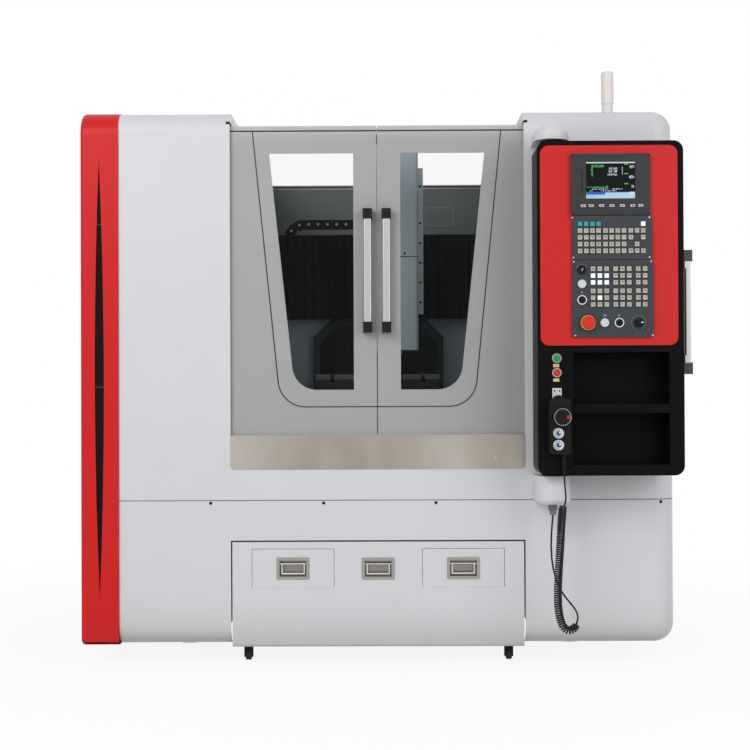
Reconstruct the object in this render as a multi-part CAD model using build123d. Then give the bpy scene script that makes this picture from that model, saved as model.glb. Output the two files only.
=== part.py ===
from build123d import *
import os
from math import cos, pi, radians, sin, tan

# Enclosed CNC engraving machine: +X right, +Y into the machine, +Z up, all sizes in millimetres.
# Places are measured from the middle of the door opening, the front skin and the floor.
# Each piece is then moved so that the origin is the bottom centre of the machine's bounding box.

# Overall body
body_width = 2020
body_depth = 1500
body_top = 1880
body_bottom = 65
seam_height = 555
panel_wall = 4
corner_round = 70
edge_round = 66
overrun = 10
pick_slack = 0.01
fit_gap = 0.3
run_clearance = 0.05

# Red end cover and its slit
cover_width = 130
cover_proud = 6
cover_rise = 4
cover_round = 80
cover_foot_round = 24
cover_edge_round = 14
slit_length = 1506
slit_width = 31
slit_middle = 971
insert_width = 60
insert_wall = 3

# Door opening, sill and tracks
opening_width = 1000
apron_top = 765
sill_bottom = 660
sill_top = 774
sill_wall = 2
sill_corner = 14
door_bottom = 779
door_top = 1836
door_setback = 14
door_depth = 40
door_wall = 4
door_round = 34
door_overlap = 15
door_gap = 3
door_travel = 420
door_bay_depth = 74
track_height = 12
track_depth = 28
head_rail_height = 30
head_rail_drop = 60

# Door window and contour groove
window_inner = 80
window_bottom = 930
window_top = 1737
window_top_width = 287
window_round = 84
window_lean = 85
pane_wall = 6
pane_lap = 18
contour_bottom = 870
contour_top_width = 428
contour_lean = 96
contour_round = 96
groove_width = 4
groove_depth = 2

# Door handles
handle_offset = 32
handle_width = 31
handle_low = 1124
handle_high = 1544
handle_cap_length = 36
handle_reach = 46
handle_bar_depth = 20
handle_bar_trim = 2
handle_round = 5
cap_round = 4

# Cast bed and feet
bed_setback = 160
bed_side_room = 160
bed_tunnel_room = 50
bed_deck_bottom = 440
bed_deck_top = 600
bed_back_room = 40
pedestal_width = 400
pedestal_back = 1300
pedestal_top = 880
guide_width = 40
guide_spacing = 260
guide_height = 28
foot_pad_radius = 55
foot_pad_height = 22
foot_stud_radius = 18
foot_rows = 2
foot_row_front = 480
foot_row_back = 1360
anchor_radius = 9
anchor_offset = 38

# Chamber liner with the portal
liner_floor = 640
liner_wall = 3
liner_back = 690
portal_width = 500
portal_bottom = 905
portal_chamfer = 70
portal_frame = 24
portal_frame_depth = 30
floor_slot_width = 420

# Bridge, bellows and drag chain
column_side_room = 45
column_width = 190
column_front = 700
column_depth = 320
beam_bottom = 1200
beam_top = 1430
beam_front = 700
beam_depth = 260
rail_height = 36
rail_depth = 22
rail_inset = 40
bellows_top = 1520
bellows_depth = 34
bellows_fold = 24
bellows_pitch = 17
bellows_front = 604
chain_link_length = 36
chain_height = 34
chain_width = 40
chain_front = 704
chain_radius = 62
chain_lower_links = 8
chain_bend_links = 5

# Saddle, head and spindle
head_middle = 35
head_width = 230
head_front = 430
head_bottom = 1076
head_top = 1895
head_round = 12
head_seam = 1420
head_seam_width = 3
saddle_width = 210
saddle_bottom = 1215
saddle_top = 1592
saddle_front = 588
guide_strip_reach = 32
guide_strip_wall = 14
guide_strip_top = 1770
chain_tongue_width = 60
spindle_radius = 55
spindle_setback = 70
spindle_bottom = 1060
spindle_nose_radius = 38
spindle_nose_height = 40
spindle_nose_chamfer = 8
spindle_shaft_radius = 24
spindle_shaft_height = 120
collet_radius = 8
collet_depth = 60

# Table
table_width = 440
table_front = 200
table_length = 600
table_bottom = 930
table_top = 982
tee_slots = 5
tee_slot_pitch = 80
tee_slot_width = 12
tee_slot_depth = 26
tee_head_width = 20
tee_head_height = 9
carriage_length = 90
carriage_width = 70
table_bellows_width = 380
table_bellows_high = 975
table_bellows_back = 1240
table_fold = 20
table_fold_pitch = 24

# Rear panel
rear_wall = 4
rear_top = 1827
rear_flange = 26
access_left = 205
access_width = 124
access_bottom = 1646
access_height = 85
access_wall = 3

# Tower light
tower_x = 830
tower_y = 300
tower_radius = 20
tower_base_radius = 32
tower_base_height = 14
tower_stem_height = 60
tower_lens_height = 116
tower_lens_radius = 22
tower_dome = 8

# Chip cart
cart_gap = 5
cart_bottom = 58
cart_top = 414
cart_depth = 820
cart_wall = 4
cart_round = 10
bay_side_room = 66
bay_inner = 149
bay_bottom = 260
bay_height = 131
drawer_gap = 1.5
drawer_depth = 480
drawer_wall = 2
drawer_front_wall = 4
drawer_rear_drop = 30
shelf_wall = 4

# Flush handles
dish_width = 112
dish_height = 75
dish_depth = 24
dish_wall = 2
dish_lip = 8
dish_round = 5
drawer_dish_middle = 324
cart_dish_middle = 323
bail_wire = 4
bail_width = 84
bail_height = 34
bail_drop = 14
bail_pin_radius = 3
bail_setback = 8

# Casters
caster_inset = 47
caster_front = 70
caster_back = 740
wheel_radius = 22
wheel_width = 20
wheel_round = 4
hub_radius = 11
caster_trail = 16
axle_radius = 4
fork_wall = 4
fork_gap = 1
fork_top = 47
caster_plate_size = 60
caster_plate_wall = 4
kingpin_radius = 7
pedal_length = 26
pedal_width = 18
pedal_wall = 5

# Pendant housing and pivot
pendant_left = 522
pendant_width = 476
pendant_bottom = 648
pendant_height = 1089
pendant_back = 55
pendant_depth = 160
pendant_round = 32
pivot_x = 580
pivot_y = -118
pivot_radius = 22
collar_radius = 36
collar_height = 14
arm_width = 116
arm_top_wall = 51
arm_bottom_wall = 94
arm_round = 36
arm_drop = 4.3
arm_cap_wall = 10
shelf_left = 637
shelf_width = 313
shelf_height = 168
shelf_low = 683
shelf_high = 880
shelf_depth = 126

# Pendant panels
red_left = 532
red_width = 446
red_bottom = 1071
red_height = 650
red_wall = 6
red_round = 28
display_left = 631
display_width = 256
display_bottom = 1493
display_height = 199
display_wall = 12
screen_left = 680
screen_width = 159
screen_bottom = 1546
screen_height = 120
screen_depth = 5
soft_key_places = (670, 696, 729.5, 763, 796.5, 830, 856)
soft_key_width = 17
soft_key_height = 9
soft_key_rise = 1.5
soft_key_level = 1523
keyboard_left = 634
keyboard_width = 260
keyboard_bottom = 1349
keyboard_height = 142
plate_wall = 8
key_size = 15.5
key_rise = 3
keyboard_rows = 4
keyboard_groups = (4, 4, 3)
keyboard_blanks = ((1, 8), (1, 10), (2, 9))
key_group_gap = 2.2
key_pitch = 20
key_row_pitch = 21.9
keyboard_first_key = 659.4
keyboard_first_row = 1376.6
top_keys = 4
operation_left = 634
operation_width = 263
operation_bottom = 1097
operation_height = 250
operation_groups = (3, 3, 2)
operation_row_groups = (3, 3)
operation_group_gap = 7.1
operation_row_gap = 5.4
operation_first_key = 700.7
operation_first_row = 1203
operation_row_pitch = 22
operation_key_pitch = 22

# Buttons and knobs
estop_x = 684
estop_z = 1144
estop_radius = 21
estop_collar_radius = 27
estop_collar_height = 6
estop_neck_radius = 13
estop_neck_height = 10
estop_cap_height = 14
estop_travel = 5
small_button_radius = 13
small_button_height = 6
white_button_x = 738
black_button_x = 785
mode_x = 665
mode_z = 1316
spare_button_z = 1270
key_switch_z = 1218
override_x = 848
knob_radius = 14
knob_height = 18
knob_skirt_radius = 19
knob_skirt_height = 4
knob_stem_radius = 4
knob_flutes = 12
flute_radius = 2
button_x = 584
green_z = 1030
red_z = 983
button_radius = 11
button_height = 12
bezel_radius = 15
bezel_height = 5
button_travel = 4
button_gap = 0.5
button_round = 2
plate_round = 6
flute_share = 4
dial_depth = 4

# Handwheel unit
wheel_unit_left = 555
wheel_unit_width = 69
wheel_unit_bottom = 720
wheel_unit_height = 179
wheel_unit_depth = 44
wheel_unit_round = 8
wheel_unit_x = 595
wheel_unit_z = 840
handwheel_radius = 30
handwheel_height = 22
handwheel_knurls = 24
selector_x = 583
axis_selector_z = 788
step_selector_z = 750
selector_radius = 17
selector_height = 13
relief_x = 604
relief_length = 65
relief_top_radius = 8
relief_end_radius = 4.5
hanger_width = 30
hanger_height = 40
hanger_wall = 4
hanger_z = 893

# Side handle of the pendant
side_bar_x = 1018
side_bar_width = 18
side_bar_depth = 22
side_handle_low = 977
side_handle_high = 1383
side_bracket_height = 36
side_bracket_reach = 34
side_handle_setback = 30
side_bracket_depth = 34

# Cable gland and curly cord
gland_radius = 15
gland_height = 20
connector_radius = 11
connector_height = 15.4
cord_radius = 3
coil_radius = 13.5
arc_share = 0.45
lead_route = [(604, -237, 655), (605, -235, 624), (610, -222, 594), (613, -204, 568), (604, -192, 550)]
coil_route = [(604, -192, 550), (600, -184, 495), (598, -178, 435), (594, -174, 370), (590, -173, 305),
              (588, -173, 240), (592, -173, 190), (604, -173, 150), (630, -173, 134), (653, -172, 158)]
return_route = [(653, -172, 158), (657, -168, 186), (643, -159, 215), (612, -148, 248),
                (586, -136, 298), (573, -125, 368), (573, -119, 446), (580, -118, 514)]

# Places that follow from the sizes above
left_face = -body_width / 2
right_face = body_width / 2
cabinet_left = left_face + cover_width
half_opening = opening_width / 2
cabinet_back = body_depth - rear_wall
door_face_back = door_setback + door_depth
saddle_back = beam_front - rail_depth - fit_gap
head_back = saddle_front - fit_gap
head_left = head_middle - head_width / 2
saddle_left = head_middle - saddle_width / 2
saddle_right = head_middle + saddle_width / 2
spindle_y = head_front + spindle_setback
guide_top = pedestal_top + guide_height
table_back = table_front + table_length
cart_half = half_opening - cart_gap
bay_width = cart_half - bay_inner - bay_side_room
caster_x = cart_half - caster_inset
bed_leg_reach = body_width / 2 - bed_side_room
bed_leg_inner = half_opening + bed_tunnel_room
foot_side = (bed_leg_inner + bed_leg_reach) / 2
column_inner = half_opening + column_side_room
caster_plate_bottom = cart_bottom - caster_plate_wall
pendant_top = pendant_bottom + pendant_height
pendant_right = pendant_left + pendant_width
pendant_front = -(pendant_back + pendant_depth)
panel_front = pendant_front - red_wall
plate_front = panel_front - plate_wall
unit_front = pendant_front - wheel_unit_depth
lower_arm_top = pendant_bottom - arm_drop
lower_arm_bottom = lower_arm_top - arm_bottom_wall
pivot_end = lower_arm_bottom - fit_gap
upper_arm_bottom = pendant_top + collar_height + fit_gap
chain_low = beam_top + chain_height / 2
chain_high = chain_low + 2 * chain_radius
quarter_turn = 90
half_turn = 180


# Shapes that many pieces share
def block(x0, x1, y0, y1, z0, z1):
    middle = Pos((x0 + x1) / 2, (y0 + y1) / 2, (z0 + z1) / 2)
    return middle * Box(x1 - x0, y1 - y0, z1 - z0)


def post(x, y, radius, low, high):
    return Pos(x, y, (low + high) / 2) * Cylinder(radius, high - low)


def cross_pin(x0, x1, y, z, radius):
    return Pos((x0 + x1) / 2, y, z) * Rot(0, quarter_turn, 0) * Cylinder(radius, x1 - x0)


def front_solid(sketch, front, back):
    return extrude(Plane.XZ.offset(-back) * sketch, amount=back - front)


def front_plate(left, width, bottom, height, front, back, radius):
    outline = Pos(left + width / 2, bottom + height / 2) * RectangleRounded(width, height, radius)
    return front_solid(outline, front, back)


def front_disc(x, z, radius, front, back):
    return front_solid(Pos(x, z) * Circle(radius), front, back)


def edges_at(solid, along, **places):
    found = solid.edges().filter_by(along)
    for name, place in places.items():
        found = found.filter_by_position(getattr(Axis, name), place - pick_slack, place + pick_slack)
    return found


def rim_at(solid, level):
    return solid.edges().filter_by_position(Axis.Z, level - pick_slack, level + pick_slack)


def mirrored(solid):
    return mirror(solid, about=Plane.YZ)


def corner_box(x0, x1, y1, y0, z0, z1, upright_round, rim_round, rim_level):
    box = block(x0, x1, y0, y1, z0, z1)
    box = fillet(edges_at(box, Axis.Z, X=x1, Y=y0), upright_round)
    rim = rim_at(box, rim_level).filter_by(lambda edge: edge.center().X > x0 + pick_slack)
    rim = rim.filter_by(lambda edge: edge.center().Y < y1 - pick_slack)
    return fillet(rim, rim_round)


# Enclosure
def door_passage(x0, x1):
    return block(x0, x1, panel_wall, door_bay_depth, sill_bottom - overrun, door_top + overrun)


def behind_bridge(x0, x1):
    back_room = block(x0, x1, liner_back + liner_wall, body_depth, seam_height, body_top - panel_wall)
    under_deck = block(x0, x1, panel_wall, body_depth, seam_height - overrun, bed_deck_top)
    return back_room + under_deck


def make_left_cabinet():
    shell = block(cabinet_left, -half_opening, 0, cabinet_back, seam_height, body_top)
    shell = fillet(edges_at(shell, Axis.X, Y=0, Z=body_top), edge_round)
    inner_top = body_top - panel_wall
    wall_outside = -half_opening - panel_wall
    room = block(cabinet_left - overrun, wall_outside, panel_wall, body_depth,
                 seam_height - overrun, inner_top)
    room = fillet(edges_at(room, Axis.X, Y=panel_wall, Z=inner_top), edge_round - panel_wall)
    apron = block(-half_opening, half_opening, 0, panel_wall, seam_height, apron_top)
    shell = shell - room - door_passage(wall_outside - overrun, -half_opening + overrun)
    return shell - behind_bridge(wall_outside - overrun, -half_opening + overrun) + apron


def make_right_cabinet():
    shell = corner_box(half_opening, right_face, cabinet_back, 0, seam_height, body_top,
                       corner_round, edge_round, body_top)
    inner_top = body_top - panel_wall
    wall_outside = half_opening + panel_wall
    room = corner_box(wall_outside, right_face - panel_wall, body_depth, panel_wall,
                      seam_height - overrun,
                      inner_top, corner_round - panel_wall, edge_round - panel_wall, inner_top)
    shell = shell - room - door_passage(half_opening - overrun, wall_outside + overrun)
    return shell - behind_bridge(half_opening - overrun, wall_outside + overrun)


def make_base_skirt():
    shell = corner_box(cabinet_left, right_face, cabinet_back, 0, body_bottom, seam_height,
                       corner_round, edge_round, body_bottom)
    inner_floor = body_bottom + panel_wall
    room = corner_box(cabinet_left - overrun, right_face - panel_wall, body_depth, panel_wall,
                      inner_floor,
                      seam_height + overrun, corner_round - panel_wall, edge_round - panel_wall,
                      inner_floor)
    underside = block(cabinet_left - overrun, right_face - corner_round, corner_round, body_depth,
                      body_bottom - overrun, inner_floor + overrun)
    tunnel = block(-half_opening, half_opening, -overrun, body_depth, body_bottom - overrun,
                   cart_top + cart_gap)
    return shell - room - underside - tunnel


def make_end_cover():
    cover_top = body_top + cover_rise
    shell = block(left_face, cabinet_left, -cover_proud, body_depth, body_bottom, cover_top)
    shell = fillet(edges_at(shell, Axis.X, Y=-cover_proud, Z=cover_top), cover_round)
    shell = fillet(edges_at(shell, Axis.X, Y=-cover_proud, Z=body_bottom), cover_foot_round)
    side_rim = shell.faces().sort_by(Axis.X)[0].edges()
    shell = fillet(side_rim.filter_by(lambda edge: edge.center().Y < body_depth - pick_slack),
                   cover_edge_round)
    room = block(left_face + panel_wall, cabinet_left + overrun, panel_wall - cover_proud,
                 body_depth - panel_wall,
                 body_bottom + panel_wall, cover_top - panel_wall)
    room_edges = edges_at(room, Axis.X, Y=panel_wall - cover_proud, Z=cover_top - panel_wall)
    room = fillet(room_edges, cover_round - panel_wall)
    return shell - room - front_solid(slit_outline(), -cover_proud - overrun, 0)


def slit_outline():
    tip = slit_length / 2
    right = ThreePointArc((0, -tip), (slit_width / 2, 0), (0, tip))
    left = ThreePointArc((0, tip), (-slit_width / 2, 0), (0, -tip))
    return Pos((left_face + cabinet_left) / 2, slit_middle) * make_face([right, left])


def make_slit_insert():
    middle = (left_face + cabinet_left) / 2
    back = panel_wall - cover_proud
    half_length = (slit_length + insert_width) / 2
    return block(middle - insert_width / 2, middle + insert_width / 2, back, back + insert_wall,
                 slit_middle - half_length, slit_middle + half_length)


def make_sill_strip():
    strip = block(-half_opening, half_opening, -sill_wall, 0, sill_bottom, sill_top)
    return fillet(edges_at(strip, Axis.Y, Z=sill_bottom), sill_corner)


def make_rear_panel():
    panel = block(cabinet_left, right_face, cabinet_back, body_depth, body_bottom, body_top)
    panel = fillet(edges_at(panel, Axis.Y, X=right_face), edge_round)
    notch = block(-half_opening, half_opening, cabinet_back - overrun, body_depth + overrun,
                  rear_top, body_top + overrun)
    flange = block(-half_opening, half_opening, cabinet_back - rear_flange, cabinet_back,
                   rear_top - rear_wall, rear_top)
    access = block(access_left, access_left + access_width, cabinet_back - access_wall, cabinet_back,
                   access_bottom, access_bottom + access_height)
    return panel - notch + flange + access


def make_tower_light():
    base_top = body_top + tower_base_height
    lens_bottom = base_top + tower_stem_height
    lens_top = lens_bottom + tower_lens_height
    light = post(tower_x, tower_y, tower_base_radius, body_top, base_top)
    light += post(tower_x, tower_y, tower_radius, base_top, lens_bottom)
    light += post(tower_x, tower_y, tower_lens_radius, lens_bottom, lens_top)
    return fillet(rim_at(light, lens_top), tower_dome)


# Cast bed, feet, chamber and bridge
def make_bed():
    back = cabinet_back - bed_back_room
    leg = block(bed_leg_inner, bed_leg_reach, bed_setback, back, body_bottom, bed_deck_top)
    deck = block(-bed_leg_inner, bed_leg_inner, bed_setback, back, bed_deck_bottom, bed_deck_top)
    pedestal = block(-pedestal_width / 2, pedestal_width / 2, bed_setback, pedestal_back,
                     bed_deck_top, pedestal_top)
    bed = leg + mirrored(leg) + deck + pedestal
    for side in (-guide_spacing / 2, guide_spacing / 2):
        bed += block(side - guide_width / 2, side + guide_width / 2, bed_setback, pedestal_back,
                     pedestal_top, guide_top)
    return bed


def make_levelling_feet():
    feet = []
    step = (foot_row_back - foot_row_front) / (foot_rows - 1)
    for side in (-foot_side, foot_side):
        for row in range(foot_rows):
            y = foot_row_front + row * step
            foot = post(side, y, foot_pad_radius, 0, foot_pad_height)
            foot += post(side, y, foot_stud_radius, foot_pad_height, body_bottom)
            foot -= post(side, y + anchor_offset, anchor_radius, -overrun, foot_pad_height + overrun)
            feet.append(foot)
    return Compound(children=feet)


def portal_outline(inset, low):
    half = portal_width / 2 - inset
    top = beam_bottom - inset
    corner = half - portal_chamfer
    return make_face(Polyline((-half, low), (half, low), (half, top - portal_chamfer), (corner, top),
                              (-corner, top), (-half, top - portal_chamfer), close=True))


def make_chamber_liner():
    slot = floor_slot_width / 2
    floor = block(-half_opening, half_opening, door_bay_depth, liner_back, liner_floor,
                  liner_floor + liner_wall)
    floor -= block(-slot, slot, bed_setback - overrun, liner_back + overrun,
                   liner_floor - overrun, liner_floor + overrun)
    back = block(-half_opening, half_opening, liner_back, liner_back + liner_wall, liner_floor,
                 beam_bottom)
    back -= front_solid(portal_outline(0, portal_bottom), liner_back - overrun, liner_back + overrun)
    back -= block(-slot, slot, liner_back - overrun, liner_back + overrun, liner_floor - overrun,
                  portal_bottom)
    return floor + back


def make_portal_frame():
    ring = portal_outline(0, portal_bottom) - portal_outline(portal_frame, portal_bottom - overrun)
    return front_solid(ring, liner_back - portal_frame_depth, liner_back + liner_wall)


def make_bridge():
    outer = column_inner + column_width
    column = block(column_inner, outer, column_front, column_front + column_depth, bed_deck_top, beam_top)
    beam = block(-outer, outer, beam_front, beam_front + beam_depth, beam_bottom, beam_top)
    bridge = column + mirrored(column) + beam
    for low in (beam_bottom + rail_inset, beam_top - rail_inset - rail_height):
        bridge += block(-half_opening + overrun, half_opening - overrun, beam_front - rail_depth,
                        beam_front,
                        low, low + rail_height)
    return bridge


def pleats(start, end, pitch):
    count = 2 * round((end - start) / pitch / 2)
    step = (end - start) / count
    return [(start + index * step, index % 2) for index in range(count + 1)]


def make_x_bellows(start, end):
    back = bellows_front + bellows_depth
    points = [(x, bellows_front + bellows_fold * tucked) for x, tucked in pleats(start, end,
                                                                                 bellows_pitch)]
    outline = make_face(Polyline(*points, (end, back), (start, back), close=True))
    return extrude(Pos(0, 0, beam_bottom) * outline, amount=bellows_top - beam_bottom)


def make_table_bellows():
    start = table_back + fit_gap
    low = guide_top + fit_gap
    folds = pleats(start, table_bellows_back, table_fold_pitch)
    points = [(y, table_bellows_high - table_fold * tucked) for y, tucked in folds]
    outline = make_face(Polyline(*points, (table_bellows_back, low), (start, low), close=True))
    half = table_bellows_width / 2
    return extrude(Plane.YZ.offset(-half) * outline, amount=table_bellows_width)


def make_drag_chain():
    link = SlotOverall(chain_link_length + chain_height / 2, chain_height)
    bend_x = saddle_left - chain_link_length * (chain_lower_links - 2)
    chain = Pos(bend_x + chain_link_length / 2, chain_high) * link
    for index in range(1, chain_lower_links - 2):
        chain += Pos(bend_x + (index + 1 / 2) * chain_link_length, chain_high) * link
    for index in range(chain_lower_links):
        chain += Pos(bend_x + (index + 1 / 2) * chain_link_length, chain_low) * link
    for index in range(chain_bend_links):
        turn = quarter_turn + half_turn * (index + 1 / 2) / chain_bend_links
        x = bend_x + chain_radius * cos(radians(turn))
        z = chain_low + chain_radius + chain_radius * sin(radians(turn))
        chain += Pos(x, z) * Rot(0, 0, turn + quarter_turn) * link
    chain -= Pos(saddle_left + body_width / 2, chain_high) * Rectangle(body_width, 2 * chain_height)
    return front_solid(chain, chain_front, chain_front + chain_width)


# Sliding doors, drawn for the right side
def window_outline(grow):
    inner = window_inner - grow
    outer = window_inner + window_top_width + grow
    low = window_bottom - grow
    outline = make_face(Polyline((inner, low), (outer - window_lean, low), (outer, window_top + grow),
                                 (inner, window_top + grow), close=True))
    corner = outline.vertices().sort_by(Axis.Y)[:2].sort_by(Axis.X)[-1]
    return fillet(corner, window_round + grow)


def contour_outline(inset, start):
    outer = contour_top_width - inset
    low = contour_bottom + inset
    outline = make_face(Polyline((start, low), (outer - contour_lean, low), (outer, door_top),
                                 (start, door_top), close=True))
    corner = outline.vertices().sort_by(Axis.Y)[:2].sort_by(Axis.X)[-1]
    return fillet(corner, contour_round - inset)


def make_door_panel():
    inner = door_gap / 2
    outer = half_opening + door_overlap
    leaf = block(inner, outer, door_setback, door_face_back, door_bottom, door_top)
    leaf = fillet(edges_at(leaf, Axis.X, Y=door_setback, Z=door_top), door_round)
    plate_back = door_setback + door_wall
    pan = block(inner + door_wall, outer - door_wall, plate_back, door_face_back + overrun,
                door_bottom + door_wall, door_top - door_wall)
    pan = fillet(edges_at(pan, Axis.X, Y=plate_back, Z=door_top - door_wall), door_round - door_wall)
    groove = contour_outline(0, -overrun) - contour_outline(groove_width, -2 * overrun)
    leaf -= pan
    leaf -= front_solid(window_outline(0), door_setback - overrun, plate_back + overrun)
    return leaf - front_solid(groove, door_setback - overrun, door_setback + groove_depth)


def make_window():
    front = door_setback + door_wall
    return front_solid(window_outline(pane_lap), front, front + pane_wall)


def make_handle():
    left = handle_offset - handle_width / 2
    right = handle_offset + handle_width / 2
    front = door_setback - handle_reach
    cap = block(left, right, front, door_setback, handle_low, handle_low + handle_cap_length)
    cap = fillet(edges_at(cap, Axis.X, Y=front), cap_round)
    other_cap = Pos(0, 0, handle_high - handle_low - handle_cap_length) * cap
    bar_front = front + handle_bar_trim
    bar = block(left + handle_bar_trim, right - handle_bar_trim, bar_front, bar_front + handle_bar_depth,
                handle_low + handle_cap_length, handle_high - handle_cap_length)
    bar = fillet(bar.edges().filter_by(Axis.Z), handle_round)
    return cap + bar + other_cap


def make_door_tracks():
    reach = half_opening + door_overlap + door_travel
    rail_top = door_bottom - fit_gap
    bracket_half = half_opening - fit_gap
    rail = block(-reach, reach, panel_wall + fit_gap, door_setback + track_depth,
                 rail_top - track_height, rail_top)
    rail += block(-bracket_half, bracket_half, panel_wall, panel_wall + track_height, sill_bottom,
                  rail_top)
    head_low = door_top - head_rail_drop
    head_rail = block(-reach, reach, door_face_back + fit_gap, door_bay_depth - fit_gap,
                      head_low, head_low + head_rail_height)
    return Compound(children=[rail, head_rail])


# Saddle, head, spindle and table
def make_x_saddle():
    saddle = block(saddle_left, saddle_right, saddle_front, saddle_back, saddle_bottom, saddle_top)
    guide = block(saddle_left, saddle_right + guide_strip_reach, saddle_front,
                  saddle_front + guide_strip_wall,
                  saddle_bottom, guide_strip_top)
    tongue = block(saddle_left, saddle_left + chain_tongue_width, saddle_back, chain_front + chain_width,
                   chain_high - chain_height / 2, saddle_top)
    return saddle + guide + tongue


def make_z_head():
    head = block(head_left, head_left + head_width, head_front, head_back, head_bottom, head_top)
    head = fillet(edges_at(head, Axis.Z, Y=head_front), head_round)
    seam = block(head_left - overrun, head_left + head_width + overrun, head_front - overrun,
                 head_front + head_seam_width, head_seam, head_seam + head_seam_width)
    head -= seam
    head += post(head_middle, spindle_y, spindle_radius, spindle_bottom, head_bottom)
    bore_top = spindle_bottom + spindle_shaft_height + fit_gap
    bore_radius = spindle_shaft_radius + run_clearance
    return head - post(head_middle, spindle_y, bore_radius, spindle_bottom - overrun, bore_top)


def make_spindle():
    nose_top = spindle_bottom - fit_gap
    nose_bottom = nose_top - spindle_nose_height
    nose = post(head_middle, spindle_y, spindle_nose_radius, nose_bottom, nose_top)
    nose = chamfer(rim_at(nose, nose_bottom), spindle_nose_chamfer)
    nose += post(head_middle, spindle_y, spindle_shaft_radius, nose_top,
                 spindle_bottom + spindle_shaft_height)
    return nose - post(head_middle, spindle_y, collet_radius, nose_bottom - overrun,
                       nose_bottom + collet_depth)


def make_table():
    half = table_width / 2
    table = block(-half, half, table_front, table_back, table_bottom, table_top)
    for index in range(tee_slots):
        x = (index - (tee_slots - 1) / 2) * tee_slot_pitch
        slot_bottom = table_top - tee_slot_depth
        table -= block(x - tee_slot_width / 2, x + tee_slot_width / 2, table_front - overrun,
                       table_back + overrun,
                       slot_bottom, table_top + overrun)
        table -= block(x - tee_head_width / 2, x + tee_head_width / 2, table_front - overrun,
                       table_back + overrun,
                       slot_bottom, slot_bottom + tee_head_height)
    for side in (-guide_spacing / 2, guide_spacing / 2):
        for end in (table_front, table_back - carriage_length):
            carriage = block(side - carriage_width / 2, side + carriage_width / 2, end,
                             end + carriage_length,
                             pedestal_top + guide_height / 2, table_bottom)
            groove = guide_width / 2 + fit_gap
            table += carriage - block(side - groove, side + groove, end - overrun,
                                      end + carriage_length + overrun,
                                      pedestal_top, guide_top + fit_gap)
    return table


# Chip cart with drawers, flush handles and casters
def bay_left(side):
    return bay_inner if side > 0 else -bay_inner - bay_width


def dish_hole(x, z):
    half_width = dish_width / 2 - dish_lip
    half_height = dish_height / 2 - dish_lip
    return block(x - half_width, x + half_width, -overrun, dish_depth, z - half_height, z + half_height)


def make_chip_cart():
    cart = block(-cart_half, cart_half, 0, cart_depth, cart_bottom, cart_top)
    cart = fillet(edges_at(cart, Axis.X, Y=0, Z=cart_bottom), cart_round)
    cart -= block(cart_wall - cart_half, cart_half - cart_wall, cart_wall, cart_depth - cart_wall,
                  cart_bottom + cart_wall, cart_top + overrun)
    cart += block(cart_wall - cart_half, cart_half - cart_wall, cart_wall, drawer_depth + bay_height,
                  bay_bottom - shelf_wall, bay_bottom)
    for side in (-1, 1):
        left = bay_left(side)
        cart -= block(left, left + bay_width, -overrun, cart_wall + overrun, bay_bottom,
                      bay_bottom + bay_height)
        for y in (caster_front, caster_back):
            half = caster_plate_size / 2
            x = side * caster_x
            cart += block(x - half, x + half, y - half, y + half, caster_plate_bottom, cart_bottom)
    for side in (-1, 1):
        cart += post(side * caster_x, caster_front, kingpin_radius, fork_top, caster_plate_bottom)
    return cart - dish_hole(0, cart_dish_middle)


def make_drawer(side):
    left = bay_left(side) + drawer_gap
    right = bay_left(side) + bay_width - drawer_gap
    low = bay_bottom + fit_gap
    high = bay_bottom + bay_height - drawer_gap
    drawer = block(left, right, 0, drawer_depth, low, high)
    drawer -= block(left + drawer_wall, right - drawer_wall, drawer_front_wall,
                    drawer_depth - drawer_wall,
                    low + drawer_wall, high + overrun)
    drawer -= block(left - overrun, right + overrun, drawer_front_wall, drawer_depth + overrun,
                    high - drawer_rear_drop, high + overrun)
    return drawer - dish_hole((left + right) / 2, drawer_dish_middle)


def make_dish(x, z):
    half_width = dish_width / 2 - dish_lip - fit_gap
    half_height = dish_height / 2 - dish_lip - fit_gap
    lip = front_plate(x - dish_width / 2, dish_width, z - dish_height / 2, dish_height, -dish_wall,
                      0, dish_round)
    pan = block(x - half_width, x + half_width, -dish_wall, dish_depth, z - half_height, z + half_height)
    room = block(x - half_width + dish_wall, x + half_width - dish_wall, -overrun, dish_depth - dish_wall,
                 z - half_height + dish_wall, z + half_height - dish_wall)
    pin_z = z + half_height - bail_drop
    pin_room = cross_pin(x - half_width - overrun, x + half_width + overrun, bail_setback, pin_z,
                         bail_pin_radius + run_clearance)
    return lip + pan - room - pin_room


def make_bail(x, z):
    half_width = bail_width / 2 - bail_wire
    pin_half = dish_width / 2 - dish_lip - fit_gap
    pin_z = z + dish_height / 2 - dish_lip - fit_gap - bail_drop
    grip_z = pin_z - bail_height
    bail = cross_pin(x - pin_half, x + pin_half, bail_setback, pin_z, bail_pin_radius)
    bail += cross_pin(x - half_width, x + half_width, bail_setback, grip_z, bail_wire)
    for end in (x - half_width, x + half_width):
        bail += post(end, bail_setback, bail_wire, grip_z, pin_z)
        bail += Pos(end, bail_setback, grip_z) * Sphere(bail_wire)
    return bail


def make_caster_wheel(x, y):
    half = wheel_width / 2
    wheel = cross_pin(x - half, x + half, y, wheel_radius, wheel_radius)
    wheel = fillet(wheel.edges(), wheel_round)
    for face_x in (x - half, x + half):
        wheel += cross_pin(face_x - fork_gap / 2, face_x + fork_gap / 2, y, wheel_radius, hub_radius)
    return wheel - cross_pin(x - wheel_width, x + wheel_width, y, wheel_radius,
                             axle_radius + run_clearance)


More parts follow.
